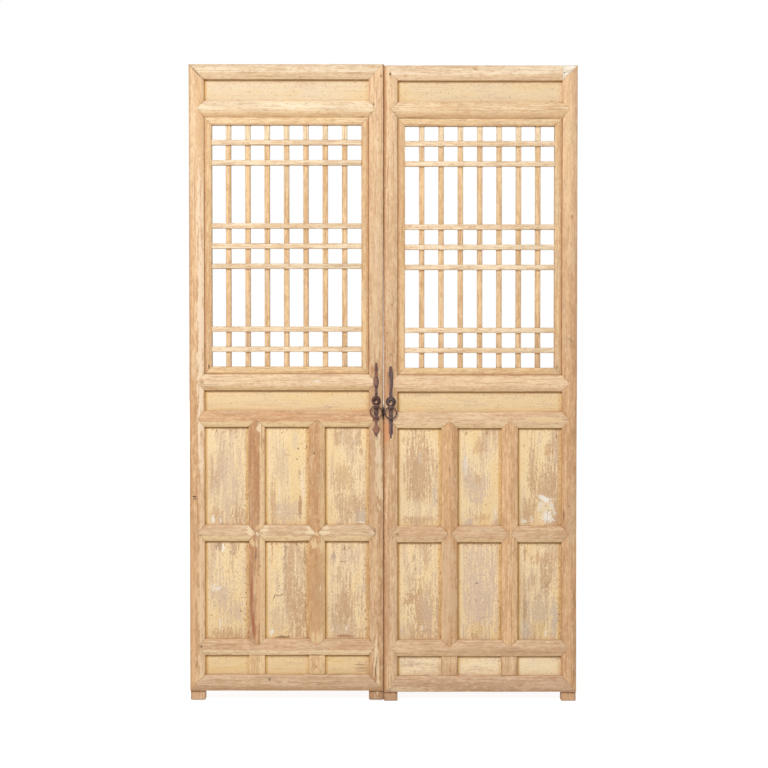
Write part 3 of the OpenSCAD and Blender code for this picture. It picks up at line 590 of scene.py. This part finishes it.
LEFT_LOWER_FLAKES = [
    ("grey chip", (219, 547), (2.8, 3.5), tone(160, 134, 116), 0.7),
    ("grey brown flake", (234, 549), (3.6, 7), tone(184, 154, 130), 0.8),
    ("flake's tail", (232, 563), (1.4, 8), WORN, 0.6),
    ("lilac middle", (221, 598), (11, 15), LILAC, 0.75),
    ("lilac right", (235, 611), (8, 10), LILAC, 0.7),
    ("pale smear", (216, 588), (4, 3), CHALK, 0.5),
    ("brown foot", (226, 634), (20, 5), WORN, 0.75),
    ("brown streak", (272, 552), (1.3, 10), BROWN, 0.6),
    ("dark streak", (285, 551), (1.4, 14), tone(172, 140, 114), 0.7),
    ("grey stain", (306, 556), (2.6, 10), DEEP_BROWN, 0.6),
    ("worn right half", (298, 612), (12, 26), WORN, 0.85),
    ("worn foot", (278, 621), (9, 14), FADED, 0.7),
    ("grey shell", (334, 556), (2.4, 4), tone(184, 160, 142), 0.8),
    ("brown middle", (345, 606), (13, 20), WORN, 0.6),
    ("grey foot", (345, 632), (16, 6), FADED, 0.7),
    ("white chip", (223, 548), (1.2, 3), CHALK, 0.8),
    ("pale line", (219.5, 625), (0.8, 5), CHALK, 0.5),
    ("white patch", (271.5, 633), (1.8, 2.6), CHALK, 0.9),
]
LEFT_LOWER_STAINS = [
    ("dark pit", (240.5, 611.5), (0.9, 1.6), GRIME, 0.7),
    ("scribble stem", (274, 597), (0.6, 3.2), GRIME, 0.75, 18),
    ("scribble bar", (277.5, 596), (3.2, 0.6), GRIME, 0.75, 22),
    ("scribble end", (281.3, 595.6), (2.6, 0.6), GRIME, 0.75, -35),
    ("scribble above", (279, 586.5), (1.8, 0.5), GRIME, 0.7, -25),
    ("dark foot", (283, 637.6), (9, 1.4), GRIME, 0.65),
    ("fly spot", (344, 549), (1, 2.6), GRIME, 0.6),
    ("fly spot right", (349.5, 548.5), (0.9, 1.6), GRIME, 0.5),
    ("brown dots", (343, 562), (5, 0.9), DEEP_BROWN, 0.5),
    ("white scratch", (346.5, 629), (0.9, 4), CHALK, 0.7, 20),
    ("white scratch left", (333, 629), (0.9, 4), CHALK, 0.5, 15),
    ("rusty foot", (345, 636.6), (11, 1.6), RED_BROWN, 0.6),
]
RIGHT_UPPER_FLAKES = [
    ("pale head", (402, 433), (2.6, 5), CREAM, 0.6),
    ("head flake", (403, 441), (2.6, 3), WORN, 0.8),
    ("brown centre", (418, 470), (14, 38), WORN, 0.9),
    ("lilac streak", (420, 458), (1.6, 6), ASH, 0.5),
    ("lilac side", (435, 497), (1.8, 10), ASH, 0.6),
    ("brown foot", (418, 520), (18, 4), WORN, 0.7),
    ("flecked foot", (415, 509), (15, 7), CREAM, 0.45),
    ("brown head", (480, 447), (5.5, 9), BROWN, 0.55),
    ("grey smear", (464, 465), (3, 9), ASH, 0.8),
    ("lilac middle", (476, 488), (11, 20), LILAC, 0.85),
    ("brown middle", (478, 478), (3.6, 7), WORN, 0.7),
    ("brown toe", (480, 518), (9, 4), BROWN, 0.5),
    ("grey toe", (468, 523), (4, 3), ASH, 0.6),
    ("brown streak", (533, 470), (4, 26), WORN, 0.8),
    ("blotch", (549, 451), (3.6, 7.5), BROWN, 0.75),
    ("brown lower half", (546, 486), (14, 20), WORN, 0.8),
    ("brown corner", (530, 510), (8, 12), WORN, 0.8),
    ("plaster patch", (547, 507), (4.6, 7), CREAM, 0.85, -15),
    ("plaster arc", (544.5, 499), (5, 2.4), CHALK, 0.85, 25),
    ("plaster side", (553, 507.5), (1.5, 8), CHALK, 0.75, -14),
    ("plaster smear", (539.5, 508), (1.6, 5), CHALK, 0.5, 12),
    ("plaster foot", (548, 518), (5, 4.4), CHALK, 0.9, 20),
    ("plaster corner", (523, 521.5), (3.4, 2.2), CHALK, 0.8),
    ("plaster dab", (532, 519.5), (1, 3), CHALK, 0.6),
    ("smoky smear", (466, 466), (1.6, 7), tone(238, 228, 212), 0.6),
    ("white edge", (495, 514), (0.9, 5), CHALK, 0.4),
]
RIGHT_UPPER_STAINS = [
    ("dark chip", (466.5, 433.5), (1.8, 2.2), DEEP_BROWN, 0.6),
    ("dark chip right", (487, 433), (1.2, 3), DEEP_BROWN, 0.6),
    ("grey spot", (524, 446), (2, 2), DEEP_BROWN, 0.4),
    ("edge crack", (458.4, 474), (0.8, 30), UMBER, 0.45),
    ("edge crack right", (518.8, 494), (0.9, 24), tone(128, 102, 80), 0.55),
    ("speck in plaster", (546, 506), (0.8, 0.9), GRIME, 0.6),
    ("speck low in plaster", (549, 511), (1.2, 0.7), GRIME, 0.6, 30),
    ("red chip", (557, 437), (1.1, 3), RED_BROWN, 0.6),
    ("fly spot", (462.5, 449), (0.8, 0.9), SOOT, 0.6),
    ("fly spot low", (486, 505), (1, 0.8), GRIME, 0.5),
]
RIGHT_LOWER_FLAKES = [
    ("brown head", (427, 563), (2.6, 12), BROWN, 0.5),
    ("brown slant", (410, 600), (9, 5), WORN, 0.9, -30),
    ("grey brown half", (424, 612), (12, 28), WORN, 0.9),
    ("lilac half", (428, 606), (6, 26), LILAC, 0.6),
    ("grey toe", (401.5, 632), (1.5, 6), ASH, 0.8),
    ("lilac oval", (479, 590), (17, 46), tone(218, 191, 166), 0.95),
    ("lilac head", (474, 567), (8, 8), FADED, 0.6),
    ("yellow foot", (478, 630), (9, 6), YELLOW_PAINT, 0.5),
    ("brown toe", (475, 637), (4, 2.5), WORN, 0.8),
    ("chip", (525, 553), (1.6, 5), DEEP_BROWN, 0.5),
    ("brown lintel", (543, 560), (12, 6), BROWN, 0.6),
    ("brown column", (547, 580), (5, 20), WORN, 0.8),
    ("brown bar", (540, 597), (9, 3), BROWN, 0.6),
    ("grey middle", (540, 612), (17, 17), GREY_TAN, 0.95),
    ("brown side", (524, 610), (2.6, 12), DEEP_BROWN, 0.45),
    ("grey foot", (526, 632), (6, 8), ASH, 0.7),
    ("yellow toe", (538, 630), (8, 7), YELLOW_PAINT, 0.4),
    ("grey side", (555, 620), (3.6, 14), ASH, 0.6),
    ("white dot", (422, 628), (1, 1.8), CHALK, 0.6),
    ("white edge", (461.5, 632), (0.9, 4), CHALK, 0.4),
    ("white scratch", (546, 634), (1, 3), CHALK, 0.7, 15),
]
RIGHT_LOWER_STAINS = [
    ("brown line", (419, 593), (0.9, 4), DEEP_BROWN, 0.7),
    ("fly spots", (414, 558), (2, 4), GRIME, 0.35),
    ("fly spot", (416, 570), (0.9, 1.6), GRIME, 0.6),
    ("dark spot", (477, 584), (1.6, 0.9), GRIME, 0.75),
    ("edge crack", (500.6, 620), (0.7, 20), UMBER, 0.5),
    ("edge crack right", (519, 585), (0.8, 24), UMBER, 0.45),
    ("brown scratch", (547, 586), (1.2, 4), DEEP_BROWN, 0.5, 30),
]

# Looks of a leaf's members: light tone, dark tone, bands, worn places and stains; some bands and stains are
# painted shade.
# A band lies along an edge and is (edge, reach in metres, tone, strength[, core])
LEFT_MEMBERS = {
    "hanging_stile": (
        tone(233, 192, 147), tone(203, 157, 112),
        [("right", 0.018, tone(236, 205, 166), 0.7),
         ("left", 0.011, tone(204, 154, 106), 0.8, 0.2),
         ("foot", 0.03, PINK_TAN, 0.6)],
        [("worn orange", (192, 590), (4, 60), ORANGE_TAN, 0.5),
         ("tan inner edge", (200.5, 120), (3, 54), tone(222, 178, 128), 0.7),
         ("pale inner edge", (200.5, 330), (3, 120), tone(244, 218, 186), 0.9),
         ("pale foot edge", (200.5, 600), (2.6, 60), tone(238, 206, 166), 0.5),
         ("pale top", (192, 130), (4, 60), CREAM, 0.3)],
        [("dark mitre", (196, 72.4), (0.7, 10), GRIME, 0.6, -45),
         ("crack", (194.8, 496.3), (3.2, 0.8), SOOT, 0.9),
         ("crack's shadow", (195.5, 498.4), (3.2, 1.4), GRIME, 0.5),
         ("grey streak", (197, 664), (1.1, 5), SOOT, 0.45, 8)]),
    "meeting_stile": (
        tone(224, 188, 146), tone(192, 150, 110),
        # The band along the right edge is painted shade and grime of the seam between the leaves.
        [("right", 0.0028, SEAM_SHADE_AND_GRIME, 0.8, 0.3),
         ("left", 0.006, BROWN, 0.4, 0.3),
         ("foot", 0.03, tone(182, 142, 110), 0.8)],
        [("pale mottle", (378, 470), (4, 40), CREAM, 0.5),
         ("brown mottle", (373.5, 490), (2, 40), BROWN, 0.5),
         ("pale split", (377, 668), (2, 24), CREAM, 0.55, -4),
         ("rust at the tip", (373.4, 370), (2.2, 3.4), tone(186, 128, 90), 0.7),
         ("rust round the pull", (375.5, 385), (4.5, 18), DEEP_BROWN, 0.4)],
        [("red knot", (381, 76), (1.4, 2), RED_BROWN, 0.7),
         ("split", (376, 667), (0.7, 16), GRIME, 0.55, 5),
         ("dirt round the ring", (376, 408), (6, 9), DEEP_BROWN, 0.45),
         ("shadow beside the ring", (383.4, 412), (1.8, 9), tone(34, 22, 14), 1.0),
         ("grey cracks", (375, 532), (1.4, 5), GRIME, 0.5)]),
    "top_rail": (
        tone(240, 219, 187), tone(220, 191, 154),
        [("foot", 0.024, tone(220, 186, 144), 0.7)],
        [], [("dark mitre", (196, 72.4), (0.7, 10), GRIME, 0.6, -45)]),
    # The darker lower band is painted shade on the under side of the rail's rounded face.
    "frieze_rail": (
        tone(248, 228, 194), tone(238, 212, 174),
        [("foot", 0.036, tone(222, 182, 132), 0.9, 0.1)], [], []),
    "sill_rail": (
        tone(244, 213, 174), tone(224, 187, 148),
        [("foot", 0.02, tone(212, 174, 126), 0.75, 0.4)], [],
        [("chipped end", (202, 382), (2.6, 3), DEEP_BROWN, 0.6),
         ("white specks", (317, 381), (4, 0.9), CHALK, 0.6)]),
    "waist_rail": (
        tone(226, 182, 138), tone(206, 157, 114),
        [("foot", 0.0195, STRAW, 0.85),
         ("head", 0.005, PINK_TAN, 0.5, 0.3)],
        [("orange streak", (290, 415), (30, 1.6), ORANGE_TAN, 0.6)], []),
    "cross_rails": (
        tone(228, 196, 160), tone(210, 172, 136),
        [("foot", 0.019, STRAW, 0.8)],
        [("pale tip", (251, 531), (4, 5), CREAM, 0.6),
         ("pale tip right", (264, 531), (4, 5), CREAM, 0.6),
         ("pale tip inner", (311, 531), (4, 5), CREAM, 0.6),
         ("pale tip far", (325, 531), (4, 5), CREAM, 0.6)],
        [("splintered end", (366, 532), (6, 1.2), DEEP_BROWN, 0.5, 12)]),
    "lower_rail": (
        tone(226, 190, 152), tone(208, 168, 130),
        [("foot", 0.0185, tone(244, 217, 175), 0.85)],
        [], [("end knot", (201.5, 646), (1.4, 2), GRIME, 0.6)]),
    "bottom_rail": (
        tone(222, 190, 156), tone(200, 164, 130),
        [("foot", 0.026, tone(194, 154, 114), 0.7, 0.3)], [],
        [("knot", (269.5, 679), (1.8, 2.2), SOOT, 0.55)]),
    "outer_muntin": (
        tone(210, 163, 119), tone(186, 137, 97),
        [("right", 0.0175, tone(242, 212, 166), 0.75)],
        [("paler foot", (259, 600), (4, 34), TAN, 0.7),
         ("paint above the crossing", (260, 527), (3.6, 3), HONEY, 0.6),
         ("paint below the crossing", (254, 542), (3, 3.6), STRAW, 0.75),
         ("paint below, right", (262, 543), (3, 4), STRAW, 0.6),
         ("pale crossing", (258, 533.4), (3, 1.6), CREAM, 0.7),
         ("white corner", (259, 427), (2, 4), CREAM, 0.7)],
        [("red streak", (251.6, 594), (2, 28), RED_BROWN, 0.85, 1),
         ("red streak's foot", (253.6, 625), (2.2, 18), RED_BROWN, 0.9, -4),
         ("dark crack", (256, 555), (0.7, 10), GRIME, 0.6),
         ("knot", (260, 566), (1.6, 2), RED_BROWN, 0.5),
         ("knot below", (259, 574.5), (2, 1.2), RED_BROWN, 0.5)]),
    "inner_muntin": (
        tone(218, 173, 126), tone(196, 149, 104),
        [("right", 0.0165, STRAW, 0.5)],
        [("brown foot", (318, 600), (7, 40), tone(196, 156, 116), 0.55),
         ("paint below the crossing", (314, 543), (3, 5), STRAW, 0.75),
         ("paint below, right", (323, 544), (3, 6), STRAW, 0.65),
         ("pale crossing", (318, 534), (3, 1.6), STRAW, 0.75),
         ("painted toe", (317, 638), (6, 6), STRAW, 0.7)],
        [("nail hole", (314, 453.5), (1, 1.1), SOOT, 0.9),
         ("grey knot", (318.5, 521), (2.2, 3), DEEP_BROWN, 0.5),
         ("pale drop", (320.5, 588), (0.6, 4), CREAM, 0.7)]),
    "base_muntins": (
        tone(236, 203, 156), tone(214, 177, 132), [], [],
        [("scratch", (316, 667), (4, 0.6), DEEP_BROWN, 0.6, 45),
         ("scratch across", (316, 667), (4, 0.6), DEEP_BROWN, 0.6, -45)]),
}
RIGHT_MEMBERS = {
    "hanging_stile": (
        tone(222, 179, 135), tone(197, 152, 110),
        [("right", 0.004, BROWN, 0.5, 0.3),
         ("foot", 0.03, PINK_TAN, 0.6)],
        [("pale top", (569, 140), (4, 70), HONEY, 0.35)],
        [("knot", (572, 217), (1.6, 2.4), DEEP_BROWN, 0.6),
         ("crack", (570, 340), (5, 0.8), GRIME, 0.5, 40),
         ("crack low", (563.5, 515), (0.6, 8), GRIME, 0.7),
         ("nail hole", (569, 506), (0.8, 1.5), GRIME, 0.7),
         ("red split", (573, 680), (0.6, 18), RED_BROWN, 0.6, 2)]),
    "meeting_stile": (
        tone(231, 196, 155), tone(202, 160, 119),
        # Both bands along the left edge are painted shade of the rounded seam edge, with grime.
        [("left", 0.011, BROWN, 0.7, 0.3),
         ("left", 0.005, SEAM_SHADE_AND_GRIME, 0.8, 0.4),
         ("right", 0.005, BROWN, 0.4, 0.3),
         ("foot", 0.03, tone(188, 148, 116), 0.7)],
        [("rust left of the strap", (388.3, 384), (1.8, 16), RED_BROWN, 0.4),
         ("orange below", (386.6, 429), (2.8, 12), tone(216, 148, 102), 0.8),
         ("orange by the eye", (386.6, 392), (1.6, 6), tone(206, 146, 104), 0.5),
         ("brown streak", (389, 520), (1.6, 24), RED_BROWN, 0.3),
         ("brown foot", (388, 590), (2, 60), RED_BROWN, 0.35)],
        # Painted shade along the upper part of the seam edge.
        [("shaded brown edge", (384.6, 130), (2.6, 70), tone(180, 132, 90), 0.6),
         ("red scratch", (388, 170), (0.7, 20), RED_BROWN, 0.6, 3),
         ("red spot", (387.5, 333), (0.9, 1.4), RED_BROWN, 0.7),
         ("knot", (392, 305), (1.4, 2), DEEP_BROWN, 0.6),
         ("dirt round the ring", (391.5, 409), (6, 9), DEEP_BROWN, 0.4),
         ("shadow beside the ring", (383.6, 412), (1.6, 9), tone(34, 22, 14), 1.0),
         ("split", (393, 535), (1, 5), GRIME, 0.5, 10)]),
    "top_rail": (
        tone(246, 224, 193), tone(225, 194, 157),
        [("foot", 0.02, tone(228, 194, 152), 0.7)],
        [], [("red crack", (475, 69.5), (4, 0.9), RED_BROWN, 0.7, 30)]),
    # The darker lower band is painted shade on the under side of the rail's rounded face.
    "frieze_rail": (
        tone(244, 216, 176), tone(226, 188, 144),
        [("foot", 0.034, tone(214, 172, 126), 0.8, 0.1)], [], []),
    "sill_rail": (
        tone(243, 210, 170), tone(225, 186, 146),
        [("foot", 0.01, tone(218, 182, 138), 0.5, 0.5)], [], []),
    "waist_rail": (
        tone(236, 203, 164), tone(219, 181, 142),
        [("foot", 0.011, STRAW, 0.6)],
        [("inlay", (544, 420), (16, 2.8), HONEY, 0.75)], []),
    "cross_rails": (
        tone(226, 190, 152), tone(208, 168, 130),
        [("foot", 0.013, STRAW, 0.6)], [],
        [("chip", (397.5, 534), (1.6, 2), GRIME, 0.5)]),
    "lower_rail": (
        tone(229, 195, 158), tone(210, 171, 135),
        [("foot", 0.008, STRAW, 0.4)], [], []),
    "bottom_rail": (
        tone(221, 186, 153), tone(197, 160, 127), [],
        [("pale foot", (410, 689), (20, 2), CREAM, 0.4)], []),
    "outer_muntin": (
        tone(234, 192, 146), tone(209, 164, 120),
        [("right", 0.009, STRAW, 0.3)], [],
        [("crack", (505.5, 430), (1, 5), DEEP_BROWN, 0.7),
         ("knot", (518, 580), (0.9, 2), GRIME, 0.7),
         ("knot low", (500.5, 603), (0.8, 3), GRIME, 0.6)]),
    "inner_muntin": (
        tone(226, 182, 136), tone(203, 157, 112),
        [("left", 0.008, STRAW, 0.3)],
        [("paler foot", (449.5, 592), (8, 44), tone(220, 186, 150), 0.65)],
        [("dark pit", (449.5, 469), (0.8, 3), GRIME, 0.5)]),
    "base_muntins": (
        tone(234, 200, 159), tone(214, 176, 135), [], [],
        [("side line", (441.9, 666), (0.5, 12), UMBER, 0.55),
         ("side line right", (456.9, 666), (0.5, 12), UMBER, 0.55),
         ("outer side line", (501.9, 666), (0.5, 12), UMBER, 0.55),
         ("outer side line right", (516.7, 666), (0.5, 12), UMBER, 0.55)]),
}
MEMBERS = {"left": LEFT_MEMBERS, "right": RIGHT_MEMBERS}
STILE_TOP_PALENESS = 0.5

# Worn places and stains of the panels that have any
LEFT_BASE_FLAKES = [("splintered", (362, 668), (6, 3.6), WORN, 0.5)]
LEFT_BASE_STAINS = [
    ("splinter", (360, 665.4), (7, 0.6), GRIME, 0.5),
    ("splinter below", (362, 668.8), (6, 0.6), GRIME, 0.45),
    ("splinter low", (363, 672), (5, 0.6), GRIME, 0.4),
]
PANEL_MARKS = {
    "left": {"upper_panels": (LEFT_UPPER_FLAKES, LEFT_UPPER_STAINS),
             "lower_panels": (LEFT_LOWER_FLAKES, LEFT_LOWER_STAINS),
             "base_panels": (LEFT_BASE_FLAKES, LEFT_BASE_STAINS)},
    "right": {"upper_panels": (RIGHT_UPPER_FLAKES, RIGHT_UPPER_STAINS),
              "lower_panels": (RIGHT_LOWER_FLAKES, RIGHT_LOWER_STAINS)},
}

# Panels: grain axis, rail above, uprights between, wear, left and right paint, strength of the edges' paint
MUNTINS = ("outer_muntin", "inner_muntin")
PANELS = {
    "frieze_panel": ("X", "top_rail", (), 0.12, (FRIEZE_PAINT, tone(230, 205, 166)), 0.2),
    "belt_panel": ("X", "sill_rail", (), 0.15, (BELT_PAINT, BELT_PAINT), 0.3),
    "upper_panels": ("Z", "waist_rail", MUNTINS, 0.45, (PALE_PAINT, PALE_PAINT), 0.7),
    "lower_panels": ("Z", "cross_rails", MUNTINS, 0.55, (PALE_PAINT, PALE_PAINT), 0.7),
    "base_panels": ("X", "lower_rail", MUNTINS, 0.1, (STRAW, CREAM), 0.3),
}

# Lattice and corner patch
# Painted shade along the lattice frame's outer edges and along the lower edges of its head and foot
LATTICE_EDGE_SHADE = tone(206, 160, 114)
LATTICE_SHADE = tone(150, 102, 56)
LATTICE_GRAIN = 0.005
LATTICE_ARRIS = 0.0007
LATTICE_SLICE = 0.024
LEAST_GAP = 0.04
PALE_DROP = 0.03
PALE_REACH = 0.042
SHADE_REACH = 0.006
PATCH_ARRIS = 0.0006

# Seeds of the noise, so that no two pieces look alike
LEAF_SEEDS = {"left": 3, "right": 60}
PANEL_SEED = 20
LATTICE_SEED = 30
PATCH_SEED = 77


def make_members(side, seed):
    """Stiles, rails and muntins of one leaf."""
    for index, (part, (light, dark, edges, flakes, stains)) in enumerate(MEMBERS[side].items()):
        kind = part.split("_")[-1]
        along = "X" if kind.startswith("rail") else "Z"
        node = f"{side}_{part}"
        bands = [along_edge(side, part, *edge) for edge in edges]
        top_paleness = STILE_TOP_PALENESS if kind == "stile" else 0.0
        material = wood(node, along, light, dark, bands, flakes, stains, seed + index, top_paleness=top_paleness)
        dress(aged(node, bowed=node == BOWED_NODE), material)


def make_panels(side, seed):
    """Painted panels of one leaf."""
    for index, (part, (along, above, dividers, wear, paints, yellow)) in enumerate(PANELS.items()):
        node = f"{side}_{part}"
        openings = openings_of(side, dividers)
        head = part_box(f"{side}_{above}")[0].z
        paint = paints[SIDES.index(side)]
        flakes, stains = PANEL_MARKS[side].get(part, ((), ()))
        material = board(node, along, openings, head, wear, paint, yellow, flakes, stains, seed + index)
        dress(aged(node), material)


def upright_bands(side):
    """Bands across a leaf's lattice uprights: pale below the head, shaded under the head and each bar."""
    bars = frame["nodes"][f"{side}_lattice_bars"].data
    levels = sorted(round(vertex.co.z, 4) for vertex in bars.vertices)
    feet = [level for before, level in zip([0.0] + levels, levels) if level - before > LEAST_GAP]
    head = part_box(f"{side}_lattice_head")[0].z
    shaded = [("Z", line, SHADE_REACH, LATTICE_SHADE, 0.75, 0.6) for line in (head, *feet)]
    return [("Z", head - PALE_DROP, PALE_REACH, CREAM, 0.75, 0.5), *shaded]


def make_lattice(side, seed):
    """Lattice of one leaf: a frame, uprights and crossbars."""
    outer, inner = ("left", "right") if side == "left" else ("right", "left")
    # Painted shade along the lower edges of the lattice head and foot.
    foot_edge = [("foot", 0.006, LATTICE_EDGE_SHADE, 0.5)]
    strips = {
        # The jambs' outer-edge bands are painted shade of the gap beside the stiles, with grime in the
        # seam.
        "lattice_outer_jamb": ("Z", tone(236, 200, 152), tone(214, 172, 124),
                               [(outer, 0.009, LATTICE_EDGE_SHADE, 0.7), (outer, 0.003, SEAM_SHADE_AND_GRIME, 0.7, 0.5)]),
        "lattice_inner_jamb": ("Z", tone(236, 200, 152), tone(214, 172, 124),
                               [(inner, 0.009, LATTICE_EDGE_SHADE, 0.7), (inner, 0.003, SEAM_SHADE_AND_GRIME, 0.7, 0.5)]),
        "lattice_head": ("X", tone(244, 214, 170), tone(226, 190, 142), foot_edge),
        "lattice_foot": ("X", tone(238, 204, 156), tone(220, 180, 132), foot_edge),
        "lattice_uprights": ("Z", tone(240, 203, 156), tone(216, 174, 126), []),
        "lattice_bars": ("X", tone(247, 224, 190), tone(230, 198, 158), []),
    }
    for index, (part, (along, light, dark, edges)) in enumerate(strips.items()):
        node = f"{side}_{part}"
        bands = [along_edge(side, part, *edge) for edge in edges]
        if part == "lattice_uprights":
            bands = upright_bands(side)
        material = wood(node, along, light, dark, bands, seed=seed + index, grain_width=LATTICE_GRAIN)
        dress(aged(node, LATTICE_ARRIS, LATTICE_SLICE), material)


def make_patch():
    """The pale patch let into the right leaf's outer top corner."""
    node = "right_corner_patch"
    nail = [("nail", (564.3, 73), (0.9, 0.9), SOOT, 0.8)]
    material = wood(node, "X", tone(251, 242, 224), tone(238, 222, 198), stains=nail, seed=PATCH_SEED)
    dress(aged(node, PATCH_ARRIS), material)


def make_iron():
    """Rusted pulls and dark hinges, kept as the solids they are."""
    rust = tone(150, 94, 66)
    pulls = {
        "left": iron("pull_rust", tone(122, 92, 86), tone(60, 44, 44), rust, 1, [
            ("dark eye", (376.4, 399.5), (5, 6), tone(50, 34, 32), 0.65),
            ("light in the eye", (376.1, 402), (1.1, 1.0), tone(232, 196, 164), 0.95),
            ("rubbed leaf", (375.6, 428), (4, 6), tone(176, 124, 92), 0.6),
            ("rubbed stem", (375.4, 381), (2.4, 5), tone(150, 112, 96), 0.5)]),
        "right": iron("pull_grey", tone(114, 96, 94), tone(58, 46, 46), tone(128, 88, 70), 5, [
            ("dark side of the eye", (394.6, 399.5), (2, 5), tone(50, 38, 36), 0.6),
            ("light in the eye", (390.6, 403.5), (1.4, 1.3), tone(214, 170, 140), 0.95),
            ("orange side", (389.2, 384), (1.2, 9), tone(186, 132, 100), 0.6),
            ("orange foot", (389.4, 428), (1.2, 6), tone(178, 122, 90), 0.5)]),
    }
    black = iron("hinge_black", tone(104, 88, 78), tone(62, 54, 50), rust, 2)
    for side in SIDES:
        for part in ("pull_plate", "pull_knob", "pull_ring", "pull_nails"):
            dress(frame["nodes"][f"{side}_{part}"], pulls[side])
        for part in ("hinge_plates", "hinge_screws"):
            dress(frame["nodes"][f"{side}_{part}"], black)
    dress(frame["nodes"]["frame_hinges"], black)


# Light, floor and background
KEY_SIZE = 2.0
KEY_POWER = 196
KEY_PLACE = Vector((-1.3, -4.8, 3.6))
KEY_AIM = Vector((0.0, 0.0, 1.2))
FLOOR_REACH = 30.0
FLOOR_TONE = (0.85, 0.85, 0.85, 1.0)
NEAR_FLOOR = 1.0
FAR_FLOOR = 5.0
NEAR_LIFT = 0.7
WORLD_LIGHT = 0.39


def make_stage():
    """White floor, soft light from the upper left and the photograph's camera."""
    scene = bpy.context.scene
    scene.view_settings.view_transform = "Standard"
    floor_mesh = bpy.data.meshes.new("floor")
    corners = [(x * FLOOR_REACH, y * FLOOR_REACH, 0.0) for x, y in ((-1, -1), (1, -1), (1, 1), (-1, 1))]
    floor_mesh.from_pydata(corners, [], [(0, 1, 2, 3)])
    floor = bpy.data.objects.new("floor", floor_mesh)
    scene.collection.objects.link(floor)
    dress(floor, floor_paint())
    scene.world = white_world()
    key = bpy.data.lights.new("key", "AREA")
    key.size = KEY_SIZE
    key.energy = KEY_POWER
    key_light = bpy.data.objects.new("key", key)
    key_light.location = KEY_PLACE
    key_light.rotation_euler = (KEY_AIM - KEY_PLACE).to_track_quat("-Z", "Y").to_euler()
    scene.collection.objects.link(key_light)
    lens = bpy.data.cameras.new("camera")
    lens.sensor_width = SENSOR_MM
    lens.lens = SENSOR_MM * VIEW_DISTANCE / (IMAGE_PX * M_PER_PX)
    camera = bpy.data.objects.new("camera", lens)
    camera.location = EYE
    camera.rotation_euler = (math.pi / 2 - VIEW_PITCH, 0.0, 0.0)
    scene.collection.objects.link(camera)
    scene.camera = camera


def floor_paint():
    """A white floor that the camera sees as white, apart from the object's shadow."""
    s = Shader("floor_paint")
    away = s.add("ShaderNodeVectorMath", {"operation": "LENGTH"})
    s.feed(away.inputs[0], s.place)
    level = s.add("ShaderNodeMapRange", Value=away.outputs["Value"], From_Min=NEAR_FLOOR,
                  From_Max=FAR_FLOOR, To_Min=NEAR_LIFT, To_Max=1.0)
    path = s.add("ShaderNodeLightPath")
    seen = s.times(path.outputs["Is Camera Ray"], level.outputs[0])
    lift = s.add("ShaderNodeEmission", Strength=seen)
    paint = s.add("ShaderNodeBsdfDiffuse", Color=FLOOR_TONE)
    both = s.add("ShaderNodeAddShader")
    s.feed(both.inputs[0], paint.outputs[0])
    s.feed(both.inputs[1], lift.outputs[0])
    s.add("ShaderNodeOutputMaterial", Surface=both.outputs[0])
    return s.material


def white_world():
    """White to the camera and in reflections, a softer level as light."""
    world = bpy.data.worlds.new("studio")
    world.use_nodes = True
    nodes = world.node_tree.nodes
    links = world.node_tree.links
    path = nodes.new("ShaderNodeLightPath")
    either = nodes.new("ShaderNodeMath")
    either.operation = "MAXIMUM"
    links.new(path.outputs["Is Camera Ray"], either.inputs[0])
    links.new(path.outputs["Is Glossy Ray"], either.inputs[1])
    level = nodes.new("ShaderNodeMapRange")
    level.inputs["To Min"].default_value = WORLD_LIGHT
    level.inputs["To Max"].default_value = 1.0
    links.new(either.outputs[0], level.inputs["Value"])
    background = nodes["Background"]
    background.inputs["Color"].default_value = (1.0, 1.0, 1.0, 1.0)
    links.new(level.outputs[0], background.inputs["Strength"])
    return world


for leaf_side, leaf_seed in LEAF_SEEDS.items():
    make_members(leaf_side, leaf_seed)
    make_panels(leaf_side, leaf_seed + PANEL_SEED)
    make_lattice(leaf_side, leaf_seed + LATTICE_SEED)
make_patch()
make_iron()
make_stage()
